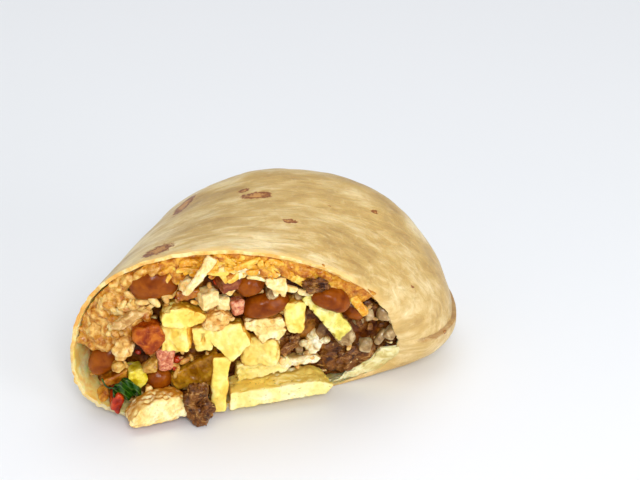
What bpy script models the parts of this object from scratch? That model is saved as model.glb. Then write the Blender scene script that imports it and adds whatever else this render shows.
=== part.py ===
"""Half of a burrito, cut across on the slant and lying on its side.

The cut faces -Y with its chord along X, and the wrapped body runs back and to +X, to its folded end.
Sizes below are in millimetres and turned into metres by MM where the meshes are made.
"""

import math

import bmesh
import bpy
import numpy as np
from mathutils import noise, Vector

MM = 0.001

# The wrap. Its axis stands at AXIS_TURN to the cut's chord, and lies on the floor.
AXIS_TURN = math.radians(56)
HALF_WIDTH = 45.0
HEIGHT = 62.0
WIDEST_HEIGHT = 0.35 * HEIGHT
UNDERSIDE_POWER = 3.0
FLATTENING = 1.04
WALL = 1.6

# The folded end, measured along the axis from the middle of the cut.
END_REACH = 76.0
END_SLANT = 12.0
END_LENGTH = 34.0
END_POWER = 2.2
END_TAPER = 0.40
END_HEIGHT = 0.30 * HEIGHT
END_OPENING = 0.985

# How far the low right flank sags outwards behind the cut, and how soon.
SAG = 16.5
SAG_ONSET = 0.7

# The cut face: how far each part of it stands behind its chord.
CUT_BACK = 1.0
CUT_LEAN = -14.0
CUT_BOW = 7.5
CUT_WAVE = -6.0
CUT_TWIST = 13.6
CUT_CURL = 4.6

# The filling: it stops GAP short of every neighbour.
GAP = 0.4
BAND_GAP = 0.8
PIECE_DEPTH = 9.0
HEAP_DEPTH = 2.6
HEAP_MARGIN = 0.03
FRONT_MARGIN = 1.0
FILLING_REACH = 0.74
END_CLEARANCE = 0.05

# Where the rice and the cheese lie: angles in degrees from the left side, and share of the section.
RICE_FROM, RICE_TO, RICE_SHARE = 15, 41, 0.68
CHEESE_FROM, CHEESE_TO, CHEESE_SHARE = 72, 149, 0.88
BAND_MARGIN = 4
CORE_FROM, CORE_TO, CORE_SHARE = 8, 172, 0.27
CORE_BACK_FROM, CORE_BACK_TO = 6, -186
WEDGE_SHARE = 0.31
SHARE_GAP = 0.03
LOW_FILLINGS = (
    ("salsa", "salsa", -62, 2),
    ("fries", "fry", -114, -66),
    ("steak_strips", "steak", -182, -118),
)

# The middle of the whole half, which the model's origin stands under.
MIDDLE = (16.7, 30.2, 0.0)

ROUND_STEPS = 48
WRAP_RINGS = 14
BAND_RINGS = 8
BAND_COLUMNS = 10


# --- the form of the wrap -------------------------------------------------------------------------


def section(angle, inset=0.0, share=1.0):
    """Across and height of the wrap's section at an angle from its left side, shrunk about its middle."""
    cos, sin = math.cos(angle), math.sin(angle)
    if sin >= 0:
        across = (HALF_WIDTH - inset) * cos
        height = WIDEST_HEIGHT + (HEIGHT - inset - WIDEST_HEIGHT) * sin
    else:
        power = 2 / UNDERSIDE_POWER
        across = (HALF_WIDTH - inset) * math.copysign(abs(cos) ** power, cos)
        height = WIDEST_HEIGHT - FLATTENING * WIDEST_HEIGHT * abs(sin) ** power
        height = max(height, inset)
    return across * share, WIDEST_HEIGHT + (height - WIDEST_HEIGHT) * share


def cut_offset(across, height):
    """How far the cut face stands behind its chord at this place."""
    left = across / HALF_WIDTH
    up = height / HEIGHT
    bend = CUT_BOW * left**2 + CUT_WAVE * left * (1 - left**2)
    return CUT_BACK + CUT_LEAN * up + bend + CUT_TWIST * left * up + CUT_CURL * up**2


def along_at_cut(across, height, behind=0.0):
    """Distance along the axis of the point that lies this far behind the cut face."""
    back = cut_offset(across, height) + behind
    return -across / math.tan(AXIS_TURN) + back / math.sin(AXIS_TURN)


def end_along(angle):
    return END_REACH - END_SLANT * math.cos(angle)


def body_point(along, across, height, angle, start):
    """The section's point, carried along the axis, with the end's rounding and the sagging flank."""
    end = end_along(angle)
    into_end = min(max((along - (end - END_LENGTH)) / END_LENGTH, 0.0), 1.0)
    closing = max(1 - into_end**END_POWER, 0.0) ** (1 / END_POWER)
    travel = min(max((along - start) / (end - start), 0.0), 1.0)
    right_side = (1 - across / HALF_WIDTH) / 2
    low = min(max(1 - height / HEIGHT, 0.0), 1.0)
    sag = SAG * right_side**2 * low * math.sin(math.pi * travel**SAG_ONSET)
    across = across * (1 - (1 - closing) * END_TAPER) - sag
    height = height * closing + (1 - closing) * END_HEIGHT
    x = along * math.cos(AXIS_TURN) - across * math.sin(AXIS_TURN)
    y = along * math.sin(AXIS_TURN) + across * math.cos(AXIS_TURN)
    return Vector((x, y, height))


def wrap_ring(step, inset):
    """One ring of the wrap: step 0 lies on the cut, and the last step reaches the folded end."""
    travel = math.sin(math.pi / 2 * step / WRAP_RINGS) * END_OPENING
    ring = []
    for number in range(ROUND_STEPS):
        angle = 2 * math.pi * number / ROUND_STEPS
        across, height = section(angle, inset)
        start = along_at_cut(across, height)
        along = start + (end_along(angle) - inset - start) * travel
        ring.append(body_point(along, across, height, angle, start))
    return ring


# --- meshes ---------------------------------------------------------------------------------------


def new_object(name, mesh, material, location=(0, 0, 0)):
    obj = bpy.data.objects.new(name, mesh)
    bpy.context.scene.collection.objects.link(obj)
    obj.location = Vector(location) * MM
    obj.parent = bpy.data.objects["middle"]
    mesh.materials.append(material)
    return obj


def finish_mesh(name, bm):
    bmesh.ops.recalc_face_normals(bm, faces=bm.faces)
    bmesh.ops.triangulate(bm, faces=bm.faces)
    bmesh.ops.scale(bm, vec=(MM, MM, MM), verts=bm.verts)
    mesh = bpy.data.meshes.new(name)
    bm.to_mesh(mesh)
    bm.free()
    mesh.shade_smooth()
    mesh.set_sharp_from_angle(angle=math.radians(40))
    return mesh


def add_rings(bm, rings):
    """Adds the rings' points and the quads between them, and returns the rows of points."""
    rows = [[bm.verts.new(point) for point in ring] for ring in rings]
    for row, following in zip(rows, rows[1:]):
        for a in range(len(row)):
            b = (a + 1) % len(row)
            bm.faces.new((row[a], row[b], following[b], following[a]))
    return rows


def close_with_strips(bm, ring):
    """Fills a flattened ring with cross strips, from its upper row of points to its lower one."""
    count = len(ring)
    for step in range(count // 2):
        a, b = step, step + 1
        c, d = (count - step - 1) % count, (count - step) % count
        if b == c:
            bm.faces.new((ring[d], ring[a], ring[b]))
        elif a == d:
            bm.faces.new((ring[a], ring[b], ring[c]))
        else:
            bm.faces.new((ring[a], ring[b], ring[c], ring[d]))


def tortilla(material):
    """The wrap: a closed shell that is open only at the cut."""
    bm = bmesh.new()
    outer_rows = add_rings(bm, [wrap_ring(step, 0.0) for step in range(WRAP_RINGS + 1)])
    inner_rows = add_rings(bm, [wrap_ring(step, WALL) for step in range(WRAP_RINGS + 1)])
    for a in range(ROUND_STEPS):
        b = (a + 1) % ROUND_STEPS
        lip = (outer_rows[0][a], outer_rows[0][b], inner_rows[0][b], inner_rows[0][a])
        bm.faces.new(lip)
    close_with_strips(bm, outer_rows[-1])
    close_with_strips(bm, inner_rows[-1])
    return new_object("tortilla", finish_mesh("tortilla", bm), material)


def spread(first, last, count=BAND_COLUMNS):
    return [first + (last - first) * step / (count - 1) for step in range(count)]


def band(name, outer, inner, behind, material):
    """A filling that runs through the wrap, between two rows of (angle in degrees, share of the section)."""
    ring_places = outer + inner[::-1]
    bm = bmesh.new()
    rings = []
    for step in range(BAND_RINGS + 1):
        travel = FILLING_REACH * step / BAND_RINGS
        ring = []
        for degrees, share in ring_places:
            angle = math.radians(degrees)
            share_here = share * (1 - END_CLEARANCE * travel)
            across, height = section(angle, WALL + BAND_GAP, share_here)
            front = along_at_cut(across, height, behind)
            along = front + (end_along(angle) - WALL - front) * travel
            start = along_at_cut(across, height) if step else along
            ring.append(body_point(along, across, height, angle, start))
        rings.append(ring)
    rows = add_rings(bm, rings)
    for row in (rows[0], rows[-1]):
        count = len(row)
        for step in range(len(outer) - 1):
            face = (row[step], row[step + 1], row[count - step - 2], row[count - step - 1])
            bm.faces.new(face)
    return new_object(name, finish_mesh(name, bm), material)


# --- pieces at the cut ----------------------------------------------------------------------------

# How uneven each form is, as shares of its size.
BEAN_BEND, BEAN_UNEVEN = 0.10, 0.06
CHUNK_UNEVEN, CHUNK_ROUNDING = 0.10, 0.17
LUMP_UNEVEN = 0.34
STRAND_BLUNTNESS = 0.7

# How far a shred bows and a leaf waves.
STRAND_BOW = 0.9
LEAF_WAVE = 0.7


def rough(points, amount, scale, seed):
    """Pushes points in and out along their own direction by smooth noise."""
    moved = []
    for point in points:
        place = point.normalized() * scale + Vector((seed * 7.3, seed * 3.1, seed * 5.7))
        moved.append(point * (1 + amount * noise.noise(place)))
    return moved


def bean(size, seed):
    """A plump oval, hollowed a little along one side."""
    bm = bmesh.new()
    bmesh.ops.create_uvsphere(bm, u_segments=12, v_segments=8, radius=0.5)
    for vert in bm.verts:
        bend = BEAN_BEND * math.cos(math.pi * vert.co.x)
        vert.co.z += bend * (0.5 - vert.co.z) - BEAN_BEND / 2
    for vert, point in zip(bm.verts, rough([v.co for v in bm.verts], BEAN_UNEVEN, 1.5, seed)):
        vert.co = point
    return scaled(bm, size)


def chunk(size, seed):
    """A block of potato with rounded edges and uneven sides."""
    bm = bmesh.new()
    bmesh.ops.create_cube(bm, size=1.0)
    for vert in bm.verts:
        lean = noise.noise(vert.co * 1.7 + Vector((seed * 2.9, seed * 1.3, 0)))
        vert.co *= 1 + CHUNK_UNEVEN * lean
    bmesh.ops.scale(bm, vec=size, verts=bm.verts)
    bmesh.ops.bevel(
        bm,
        geom=list(bm.edges),
        offset=CHUNK_ROUNDING * min(size),
        segments=1,
        affect="EDGES",
        profile=0.5,
    )
    return bm


def lump(size, seed):
    """A torn or cooked piece with no straight side."""
    bm = bmesh.new()
    bmesh.ops.create_icosphere(bm, subdivisions=2, radius=0.52)
    for vert, point in zip(bm.verts, rough([v.co for v in bm.verts], LUMP_UNEVEN, 1.6, seed)):
        vert.co = point
    return scaled(bm, size)


def strand(size, seed):
    """A shred that bows along its length."""
    bm = bmesh.new()
    bmesh.ops.create_icosphere(bm, subdivisions=2, radius=0.5)
    for vert in bm.verts:
        vert.co.x = math.copysign(abs(vert.co.x * 2) ** STRAND_BLUNTNESS / 2, vert.co.x)
    bm = scaled(bm, size)
    for vert in bm.verts:
        vert.co.z -= STRAND_BOW * (2 * vert.co.x / size[0]) ** 2 * (1 if seed % 2 else -1)
    return bm


def leaf(size, seed):
    """A wilted leaf: a thin, wavy blade."""
    bm = bmesh.new()
    bmesh.ops.create_icosphere(bm, subdivisions=2, radius=0.5)
    bm = scaled(bm, size)
    for vert in bm.verts:
        vert.co.y += LEAF_WAVE * math.sin(seed + 5.0 * vert.co.x / size[0])
    return bm


def scaled(bm, size):
    bmesh.ops.scale(bm, vec=size, verts=bm.verts)
    return bm


# What each kind of food measures across, through and up.
KINDS = {
    "bean": (13.0, 7.4, 8.6),
    "dice": (6.0, 6.0, 6.0),
    "cube": (9.0, 7.6, 9.0),
    "fry": (6.5, 6.0, 6.5),
    "nugget": (8.0, 7.0, 8.0),
    "flake": (6.0, 3.4, 5.0),
    "leaf": (8.5, 1.8, 7.0),
}

# How far a piece's middle is behind the cut: most are bedded in the filling, some lie flush with the
# cut or stand proud of it, and two have slid out of it.
BEDDED, SHALLOW, FLUSH, PROUD = 4.6, 2.0, 0.0, -1.0
SPILLED, FALLEN_OUT = -3.5, -5.5

# The pieces lie in courses across the cut, side by side. A course has the share of the roll's height
# that its middle runs at, and where it starts. Its pieces go from left to right: name, form, kind, how
# many times its kind's size, rise over the course, depth, tilt in the cut's plane, turn about the
# vertical. A number between two pieces is a space where only filling shows.
COURSES = (
    (0.90, -11.5, (
        ("cheese_strand", strand, "flake", (2.0, 0.7, 0.6), 0, PROUD, 60, 0),
    )),
    (0.76, -29.0, (
        ("bean_top_left", bean, "bean", (1.0, 1.0, 1.4), 2, BEDDED, 5, 0),
        ("cheese_flake_left", lump, "flake", (0.9, 1.0, 1.0), 2, SHALLOW, 0, 0),
        7.0,
        ("tomato_top", lump, "dice", (0.9, 0.9, 0.9), 1, BEDDED, 0, 0),
        ("bean_top", bean, "bean", (0.6, 0.9, 0.85), -1, BEDDED, 20, 0),
        ("cheese_flake_right", lump, "flake", (1.1, 1.2, 1.3), -1, SHALLOW, 30, 0),
        5.0,
        ("steak_top_right", lump, "nugget", (1.0, 0.9, 0.8), -2, BEDDED, -15, 0),
    )),
    (0.68, -10.0, (
        ("onion_white", lump, "dice", (1.1, 1.0, 1.1), 0, BEDDED, 10, 0),
    )),
    (0.60, -36.5, (
        ("onion_pale_strand", strand, "dice", (2.0, 0.45, 0.45), 0, SHALLOW, 25, 0),
        4.0,
        ("fry_upper", chunk, "fry", (2.0, 1.1, 1.0), -1, BEDDED, 8, 0),
        ("potato_beige", lump, "cube", (0.9, 0.9, 0.7), -3, BEDDED, 5, 0),
        ("onion_red", lump, "dice", (0.7, 0.8, 0.7), 1, BEDDED, 0, 0),
        ("bean_centre", bean, "bean", (1.05, 1.0, 1.0), 0, BEDDED, 10, 0),
        7.0,
        ("bean_right", bean, "bean", (0.9, 0.9, 0.95), 3, BEDDED, -25, 0),
        ("cheese_curl", strand, "flake", (1.5, 0.8, 0.7), -2, SHALLOW, -60, 0),
    )),
    (0.45, -36.0, (
        ("crumbs_left", lump, "nugget", (0.75, 0.9, 1.0), -1, BEDDED, 0, 0),
        ("tomato_left", lump, "dice", (1.6, 1.2, 1.5), 3, BEDDED, 10, 0),
        ("potato_cube_left", chunk, "cube", (0.9, 1.0, 1.0), 2, BEDDED, 5, 0),
        ("potato_cube_slit", chunk, "cube", (0.75, 0.9, 0.9), 1, BEDDED, -8, 0),
        ("potato_diamond", chunk, "cube", (1.0, 0.9, 1.1), -2, SHALLOW, 40, 0),
        ("potato_wedge", chunk, "cube", (1.3, 1.0, 0.8), 1, BEDDED, -5, 0),
        ("fry_short", chunk, "fry", (1.0, 1.1, 1.5), 5, BEDDED, 4, 0),
        ("fry_slanted", chunk, "fry", (1.0, 1.1, 2.8), 6, BEDDED, 34, 0),
        ("bean_far_right", bean, "bean", (0.65, 0.85, 0.8), 3, BEDDED, -35, 0),
    )),
    (0.32, -43.0, (
        ("bean_left", bean, "bean", (1.0, 1.0, 1.0), 1, BEDDED, 40, 0),
        4.0,
        ("radish_bit", lump, "dice", (0.7, 0.7, 0.7), 0, SHALLOW, 0, 0),
        ("onion_pink", lump, "dice", (0.9, 1.0, 1.1), 2, BEDDED, 0, 0),
        23.0,
        ("potato_cube_right", chunk, "cube", (1.15, 1.0, 1.0), 0, BEDDED, -5, 0),
        ("steak_small", lump, "nugget", (0.75, 1.0, 1.0), 0, BEDDED, 0, 0),
        ("crumbs_right", lump, "nugget", (1.3, 1.0, 1.2), 0, BEDDED, 0, 0),
        ("onion_grey", lump, "dice", (1.1, 1.0, 1.3), 3, BEDDED, -15, 0),
    )),
    (0.21, -40.0, (
        ("pepper_orange", lump, "dice", (1.4, 0.9, 0.9), 2, BEDDED, 0, 0),
        ("pepper_yellow", lump, "dice", (0.9, 0.9, 1.2), 1, BEDDED, -20, 0),
        ("bean_low_left", bean, "bean", (0.55, 0.9, 0.95), 0, BEDDED, 0, 0),
        ("fry_golden_slab", chunk, "fry", (2.1, 0.75, 1.7), 2, BEDDED, 8, 0),
        8.0,
        ("fry_pale_slab", chunk, "fry", (2.5, 0.85, 0.8), -1, BEDDED, 6, 0),
        11.0,
        ("steak_right", lump, "nugget", (2.2, 1.2, 1.3), -1, BEDDED, 6, 0),
        ("steak_tip", lump, "nugget", (0.75, 0.9, 0.9), 0, BEDDED, 0, 0),
    )),
    (0.18, -36.5, (
        ("leaf", leaf, "leaf", (1.0, 1.0, 1.0), 0, FLUSH, -12, 0),
    )),
    (0.11, -41.5, (
        ("cheese_smear", lump, "flake", (0.6, 1.4, 1.2), 1, BEDDED, 20, 0),
        ("tomato_low", lump, "dice", (0.55, 0.9, 0.9), 0, BEDDED, 0, 0),
        ("potato_front", chunk, "cube", (2.0, 1.1, 0.9), 0, SPILLED, -3, 0),
        ("steak_hanging", lump, "nugget", (1.0, 1.0, 1.7), 0, FALLEN_OUT, 6, 0),
        ("fry_upright", chunk, "fry", (1.0, 1.0, 3.4), 5, PROUD, -7, 0),
        ("fry_long", chunk, "fry", (4.8, 0.9, 0.9), -1, PROUD, 1, 12),
    )),
)

COLOURS = {
    "bean": ((0.34, 0.10, 0.02), 0.30),
    "tomato": ((0.50, 0.08, 0.02), 0.25),
    "onion": ((0.62, 0.45, 0.33), 0.35),
    "pepper": ((0.66, 0.48, 0.06), 0.30),
    "leaf": ((0.04, 0.11, 0.01), 0.40),
    "potato": ((0.86, 0.70, 0.27), 0.50),
    "fry": ((0.83, 0.60, 0.20), 0.50),
    "steak": ((0.17, 0.07, 0.025), 0.45),
    "crumbs": ((0.60, 0.36, 0.12), 0.60),
    "cheese": ((0.85, 0.52, 0.12), 0.40),
    "radish": ((0.55, 0.16, 0.18), 0.40),
    "rice": ((0.60, 0.26, 0.04), 0.50),
    "salsa": ((0.22, 0.05, 0.01), 0.35),
    "tortilla": ((0.66, 0.47, 0.22), 0.70),
}

DEPTH_ROUNDS = 6
PRESS_ROUNDS = 12
PRESS_DIRECTIONS = 160
LEAST_ROOM = 0.55
LIP_MARGIN = 1.0


def material_for(name):
    """The material of a piece, named for the food at the start of the piece's name."""
    food = name.split("_")[0]
    made = bpy.data.materials.get(food)
    if made:
        return made
    colour, roughness = COLOURS[food]
    made = bpy.data.materials.new(food)
    made.use_nodes = True
    shader = made.node_tree.nodes["Principled BSDF"]
    shader.inputs["Base Color"].default_value = (*colour, 1.0)
    shader.inputs["Roughness"].default_value = roughness
    made.diffuse_color = (*colour, 1.0)
    return made


def across_of(x, y):
    return -x * math.sin(AXIS_TURN) + y * math.cos(AXIS_TURN)


def cut_depth(x, z):
    """Y of the cut face above a place on the chord."""
    y = 0.0
    for _ in range(DEPTH_ROUNDS):
        y = cut_offset(across_of(x, y), z)
    return y


def turned(points, tilt, turn):
    """Points turned in the cut's plane and then about the vertical, by degrees."""
    tilt, turn = math.radians(tilt), math.radians(turn)
    x = points[:, 0] * math.cos(tilt) - points[:, 2] * math.sin(tilt)
    z = points[:, 0] * math.sin(tilt) + points[:, 2] * math.cos(tilt)
    y = points[:, 1]
    return np.stack(
        [x * math.cos(turn) - y * math.sin(turn), x * math.sin(turn) + y * math.cos(turn), z], 1
    )


def polar(point):
    """Angle in degrees and share of the section at which a point lies, seen along the axis."""
    left = across_of(point[0], point[1]) / (HALF_WIDTH - WALL - GAP)
    rise = point[2] - WIDEST_HEIGHT
    if rise >= 0:
        up = rise / (HEIGHT - WALL - GAP - WIDEST_HEIGHT)
        share = math.hypot(left, up)
    else:
        up = rise / (FLATTENING * WIDEST_HEIGHT)
        share = (abs(left) ** UNDERSIDE_POWER + abs(up) ** UNDERSIDE_POWER) ** (1 / UNDERSIDE_POWER)
    return math.degrees(math.atan2(up, left)), share


def room_behind(point):
    """Greatest depth behind the cut face that a piece may reach at this place."""
    degrees, share = polar(point)
    past_rice = max(RICE_FROM - degrees, degrees - RICE_TO)
    past_cheese = max(CHEESE_FROM - degrees, degrees - CHEESE_TO)
    in_rice = past_rice < BAND_MARGIN and share > RICE_SHARE - HEAP_MARGIN
    in_cheese = past_cheese < BAND_MARGIN and share > CHEESE_SHARE - HEAP_MARGIN
    return (HEAP_DEPTH if in_rice or in_cheese else PIECE_DEPTH) - FRONT_MARGIN


def squeeze(points, way, level):
    """Squeezes the side of a piece that reaches past a level along a direction, and shifts it if need be."""
    centre = points.mean(0)
    beyond = (points - centre) @ way
    room = level - centre @ way
    reach = beyond.max()
    if reach <= room:
        return
    shift = max(LEAST_ROOM * reach - room, 0.0)
    ahead = beyond > 0
    loss = 1 - (room + shift) / reach
    points[ahead] -= (beyond[ahead] * loss)[:, None] * way
    points -= shift * way


def keep_inside(points):
    """Presses a piece against the filling behind it, the inside of the wrap and its floor."""
    faces = np.array([cut_depth(x, z) for x, _, z in points])
    depths = faces + np.array([room_behind(point) for point in points])
    over = points[:, 1] - depths
    squeeze(points, np.array((0.0, 1.0, 0.0)), points[:, 1].max() - max(over.max(), 0.0))
    in_wrap = points[:, 1] > faces - LIP_MARGIN
    floor = WALL + GAP if in_wrap.any() else GAP
    squeeze(points, np.array((0.0, 0.0, -1.0)), -floor)
    shares = np.array([polar(point)[1] for point in points]) * in_wrap
    worst = int(shares.argmax())
    if shares[worst] > 1:
        across = across_of(points[worst, 0], points[worst, 1])
        rise = points[worst, 2] - WIDEST_HEIGHT
        way = np.array((-across * math.sin(AXIS_TURN), across * math.cos(AXIS_TURN), rise))
        length = float(np.linalg.norm(way))
        way /= length
        squeeze(points, way, points[worst] @ way - length * (1 - 1 / shares[worst]))


def directions():
    """Evenly spread directions over a sphere."""
    numbers = np.arange(PRESS_DIRECTIONS) + 0.5
    height = 1 - 2 * numbers / PRESS_DIRECTIONS
    round_angle = math.pi * (1 + 5**0.5) * numbers
    ring = np.sqrt(1 - height**2)
    return np.stack([ring * np.cos(round_angle), ring * np.sin(round_angle), height], 1)


def press_pair(first, second, ways):
    """Squeezes two touching pieces apart, across the plane where that takes least from them."""
    overlap = (first @ ways.T).max(0) - (second @ ways.T).min(0)
    best = int(overlap.argmin())
    if overlap[best] < -GAP:
        return
    way = ways[best]
    level = ((first @ way).max() + (second @ way).min()) / 2
    squeeze(first, way, level - GAP / 2)
    squeeze(second, -way, -level - GAP / 2)


def breadth(size, tilt):
    """The room that a tilted piece takes up in its course."""
    tilt = math.radians(tilt)
    return math.hypot(size[0] * math.cos(tilt), size[2] * math.sin(tilt))


def laid_out():
    """Every piece with its size, and the middle that its course gives it."""
    for share, start, course in COURSES:
        x = start
        for item in course:
            if isinstance(item, float):
                x += item
                continue
            name, form, kind, times, rise, behind, tilt, turn = item
            size = tuple(length * each for length, each in zip(KINDS[kind], times))
            room = breadth(size, tilt)
            z = share * HEIGHT + rise
            middle = np.array((x + room / 2, cut_depth(x + room / 2, z) + behind, z))
            x += room + GAP
            yield name, form, size, middle, tilt, turn


def pieces():
    """Makes every piece at the cut, pressed against its neighbours as the roll presses them."""
    made = {}
    for seed, (name, form, size, middle, tilt, turn) in enumerate(laid_out()):
        bm = form(size, seed)
        points = turned(np.array([vert.co for vert in bm.verts]), tilt, turn) + middle
        made[name] = [bm, points]
    ways = directions()
    names = list(made)
    for _ in range(PRESS_ROUNDS):
        for name in names:
            keep_inside(made[name][1])
        for number, name in enumerate(names):
            for other in names[number + 1 :]:
                press_pair(made[name][1], made[other][1], ways)
    for name, (bm, points) in made.items():
        centre = points.mean(0)
        for vert, point in zip(bm.verts, points - centre):
            vert.co = point
        new_object(name, finish_mesh(name, bm), material_for(name), centre)


# --- the fillings that run through ----------------------------------------------------------------


def core_top(degrees):
    """How far up the potato core reaches: under the rice or the cheese, and elsewhere to the wrap."""
    if degrees <= RICE_TO:
        return RICE_SHARE - SHARE_GAP
    if CHEESE_FROM - BAND_MARGIN <= degrees <= CHEESE_TO + BAND_MARGIN:
        return CHEESE_SHARE - SHARE_GAP
    return 1.0


def fillings():
    rice_angles = spread(RICE_FROM, RICE_TO)
    band(
        "rice",
        [(degrees, 1.0) for degrees in rice_angles],
        [(degrees, RICE_SHARE) for degrees in rice_angles],
        HEAP_DEPTH,
        material_for("rice"),
    )
    cheese_angles = spread(CHEESE_FROM, CHEESE_TO)
    band(
        "cheese_shreds",
        [(degrees, 1.0) for degrees in cheese_angles],
        [(degrees, CHEESE_SHARE) for degrees in cheese_angles],
        HEAP_DEPTH,
        material_for("cheese"),
    )
    core_angles = (
        spread(CORE_FROM, RICE_TO, 3)
        + spread(RICE_TO + BAND_MARGIN, CHEESE_FROM - BAND_MARGIN - 2, 3)
        + spread(CHEESE_FROM - BAND_MARGIN + 1, CHEESE_TO + 1, 5)
        + spread(CHEESE_TO + BAND_MARGIN + 2, CORE_TO, 2)
    )
    band(
        "potatoes",
        [(degrees, core_top(degrees)) for degrees in core_angles],
        [(degrees, CORE_SHARE) for degrees in spread(CORE_BACK_FROM, CORE_BACK_TO, len(core_angles))],
        PIECE_DEPTH,
        material_for("potato"),
    )
    for name, food, first, last in LOW_FILLINGS:
        angles = spread(first, last)
        band(
            name,
            [(degrees, 1.0) for degrees in angles],
            [(degrees, WEDGE_SHARE) for degrees in angles],
            PIECE_DEPTH,
            material_for(food),
        )


def main():
    for obj in list(bpy.data.objects):
        bpy.data.objects.remove(obj)
    middle = bpy.data.objects.new("middle", None)
    bpy.context.scene.collection.objects.link(middle)
    middle.location = -Vector(MIDDLE) * MM
    tortilla(material_for("tortilla"))
    fillings()
    pieces()


main()
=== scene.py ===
import math
import random

import bpy
from mathutils import Matrix, Vector, noise


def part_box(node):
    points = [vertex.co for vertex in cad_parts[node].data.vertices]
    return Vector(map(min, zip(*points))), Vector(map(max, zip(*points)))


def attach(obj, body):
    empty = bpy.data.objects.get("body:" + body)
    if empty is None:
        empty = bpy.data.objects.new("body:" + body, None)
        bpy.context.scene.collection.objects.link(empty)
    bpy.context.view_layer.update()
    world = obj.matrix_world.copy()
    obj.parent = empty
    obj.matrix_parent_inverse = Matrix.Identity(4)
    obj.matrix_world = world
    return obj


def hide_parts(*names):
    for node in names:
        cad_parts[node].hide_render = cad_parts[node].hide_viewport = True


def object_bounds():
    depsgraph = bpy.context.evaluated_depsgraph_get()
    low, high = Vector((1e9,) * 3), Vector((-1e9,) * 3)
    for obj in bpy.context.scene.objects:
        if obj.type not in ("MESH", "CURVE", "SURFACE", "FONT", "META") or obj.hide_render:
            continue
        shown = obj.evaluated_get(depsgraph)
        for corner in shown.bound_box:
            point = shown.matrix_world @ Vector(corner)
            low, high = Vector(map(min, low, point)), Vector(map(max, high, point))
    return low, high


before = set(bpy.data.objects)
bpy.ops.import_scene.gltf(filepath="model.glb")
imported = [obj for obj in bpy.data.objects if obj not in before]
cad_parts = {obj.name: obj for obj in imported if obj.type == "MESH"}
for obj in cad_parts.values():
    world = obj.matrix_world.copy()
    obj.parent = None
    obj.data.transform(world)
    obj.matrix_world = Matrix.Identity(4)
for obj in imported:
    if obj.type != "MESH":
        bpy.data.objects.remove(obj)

mm = 0.001
cadLow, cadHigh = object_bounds()
bpy.ops.object.select_all(action="DESELECT")
bpy.context.scene.view_settings.view_transform = "Standard"
print("frame loaded")


# Objects and edit mode.

def activate(obj):
    bpy.ops.object.select_all(action="DESELECT")
    obj.select_set(True)
    bpy.context.view_layer.objects.active = obj


def faceOutwards(merge=0.0):
    # normals recalculated in edit mode, after doubles closer than that many metres are merged
    bpy.ops.object.mode_set(mode="EDIT")
    bpy.ops.mesh.select_all(action="SELECT")
    if merge:
        bpy.ops.mesh.remove_doubles(threshold=merge)
    bpy.ops.mesh.normals_make_consistent(inside=False)
    bpy.ops.object.mode_set(mode="OBJECT")


def addGrid(columns, rows):
    bpy.ops.mesh.primitive_grid_add(x_subdivisions=columns, y_subdivisions=rows, size=1)
    return bpy.context.object


def gridPoints(grid, columns):
    # each vertex, with its column and row
    for index, vertex in enumerate(grid.data.vertices):
        yield vertex, index % (columns + 1), index // (columns + 1)


def addObject(name, data):
    made = bpy.data.objects.new(name, data)
    bpy.context.collection.objects.link(made)
    return made


def settle(obj):
    # modifiers applied, and the place moved into the mesh
    activate(obj)
    for modifier in list(obj.modifiers):
        bpy.ops.object.modifier_apply(modifier=modifier.name)
    bpy.ops.object.transform_apply(location=True, rotation=True, scale=True)


def joinAll(parts, name):
    bpy.ops.object.select_all(action="DESELECT")
    for part in parts:
        part.select_set(True)
    bpy.context.view_layer.objects.active = parts[0]
    bpy.ops.object.join()
    parts[0].name = name
    return parts[0]


def finishPiece(obj, name, materials, nodes=()):
    obj.name = name
    obj.data.name = name
    # slots that are there already are kept, because clearing them puts every face back on the first
    for index, material in enumerate(materials):
        if index < len(obj.data.materials):
            obj.data.materials[index] = material
        else:
            obj.data.materials.append(material)
    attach(obj, "root")
    if nodes:
        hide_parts(*nodes)


def pieceName(node):
    first, *others = node.split("_")
    return first + "".join(word.capitalize() for word in others)


def roughen(obj, size, strength, level=0.5):
    # uneven surface: bumps of that size and height, in millimetres
    name = f"clouds{size}"
    texture = bpy.data.textures.get(name)
    if not texture:
        texture = bpy.data.textures.new(name, "CLOUDS")
        texture.noise_scale = size * mm
        texture.noise_depth = 2
    modifier = obj.modifiers.new("roughen", "DISPLACE")
    modifier.texture = texture
    modifier.texture_coords = "GLOBAL"
    modifier.strength = strength * mm
    modifier.mid_level = level


def roughenAll(obj, bumps, share=1.0):
    for size, strength in bumps:
        roughen(obj, size, strength * share)


def smoothOut(obj, levels):
    modifier = obj.modifiers.new("smooth", "SUBSURF")
    modifier.levels = levels
    modifier.render_levels = levels


def nodeBox(node):
    # middle and size of a node
    low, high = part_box(node)
    return (low + high) / 2, high - low


def fitToNode(obj, node, grow=1.0):
    # moved in the mesh onto the node's place, and scaled evenly to its width and height
    centre, size = nodeBox(node)
    points = [vertex.co for vertex in obj.data.vertices]
    ownLow = Vector(min(point[i] for point in points) for i in range(3))
    ownHigh = Vector(max(point[i] for point in points) for i in range(3))
    wide, deep, tall = [size[i] / (ownHigh[i] - ownLow[i]) for i in range(3)]
    scale = grow * math.sqrt(wide * tall)
    shift = Matrix.Translation(centre) @ Matrix.Scale(scale, 4)
    obj.data.transform(shift @ Matrix.Translation(-(ownLow + ownHigh) / 2))


def keepAboveTable(obj, clear=0.3):
    for vertex in obj.data.vertices:
        vertex.co.z = max(vertex.co.z, clear * mm)


def settleOnTable(obj):
    settle(obj)
    keepAboveTable(obj)
    bpy.ops.object.shade_smooth()


def remeshed(obj, voxel):
    even = obj.modifiers.new("even", "REMESH")
    even.mode = "VOXEL"
    even.voxel_size = voxel * mm


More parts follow.
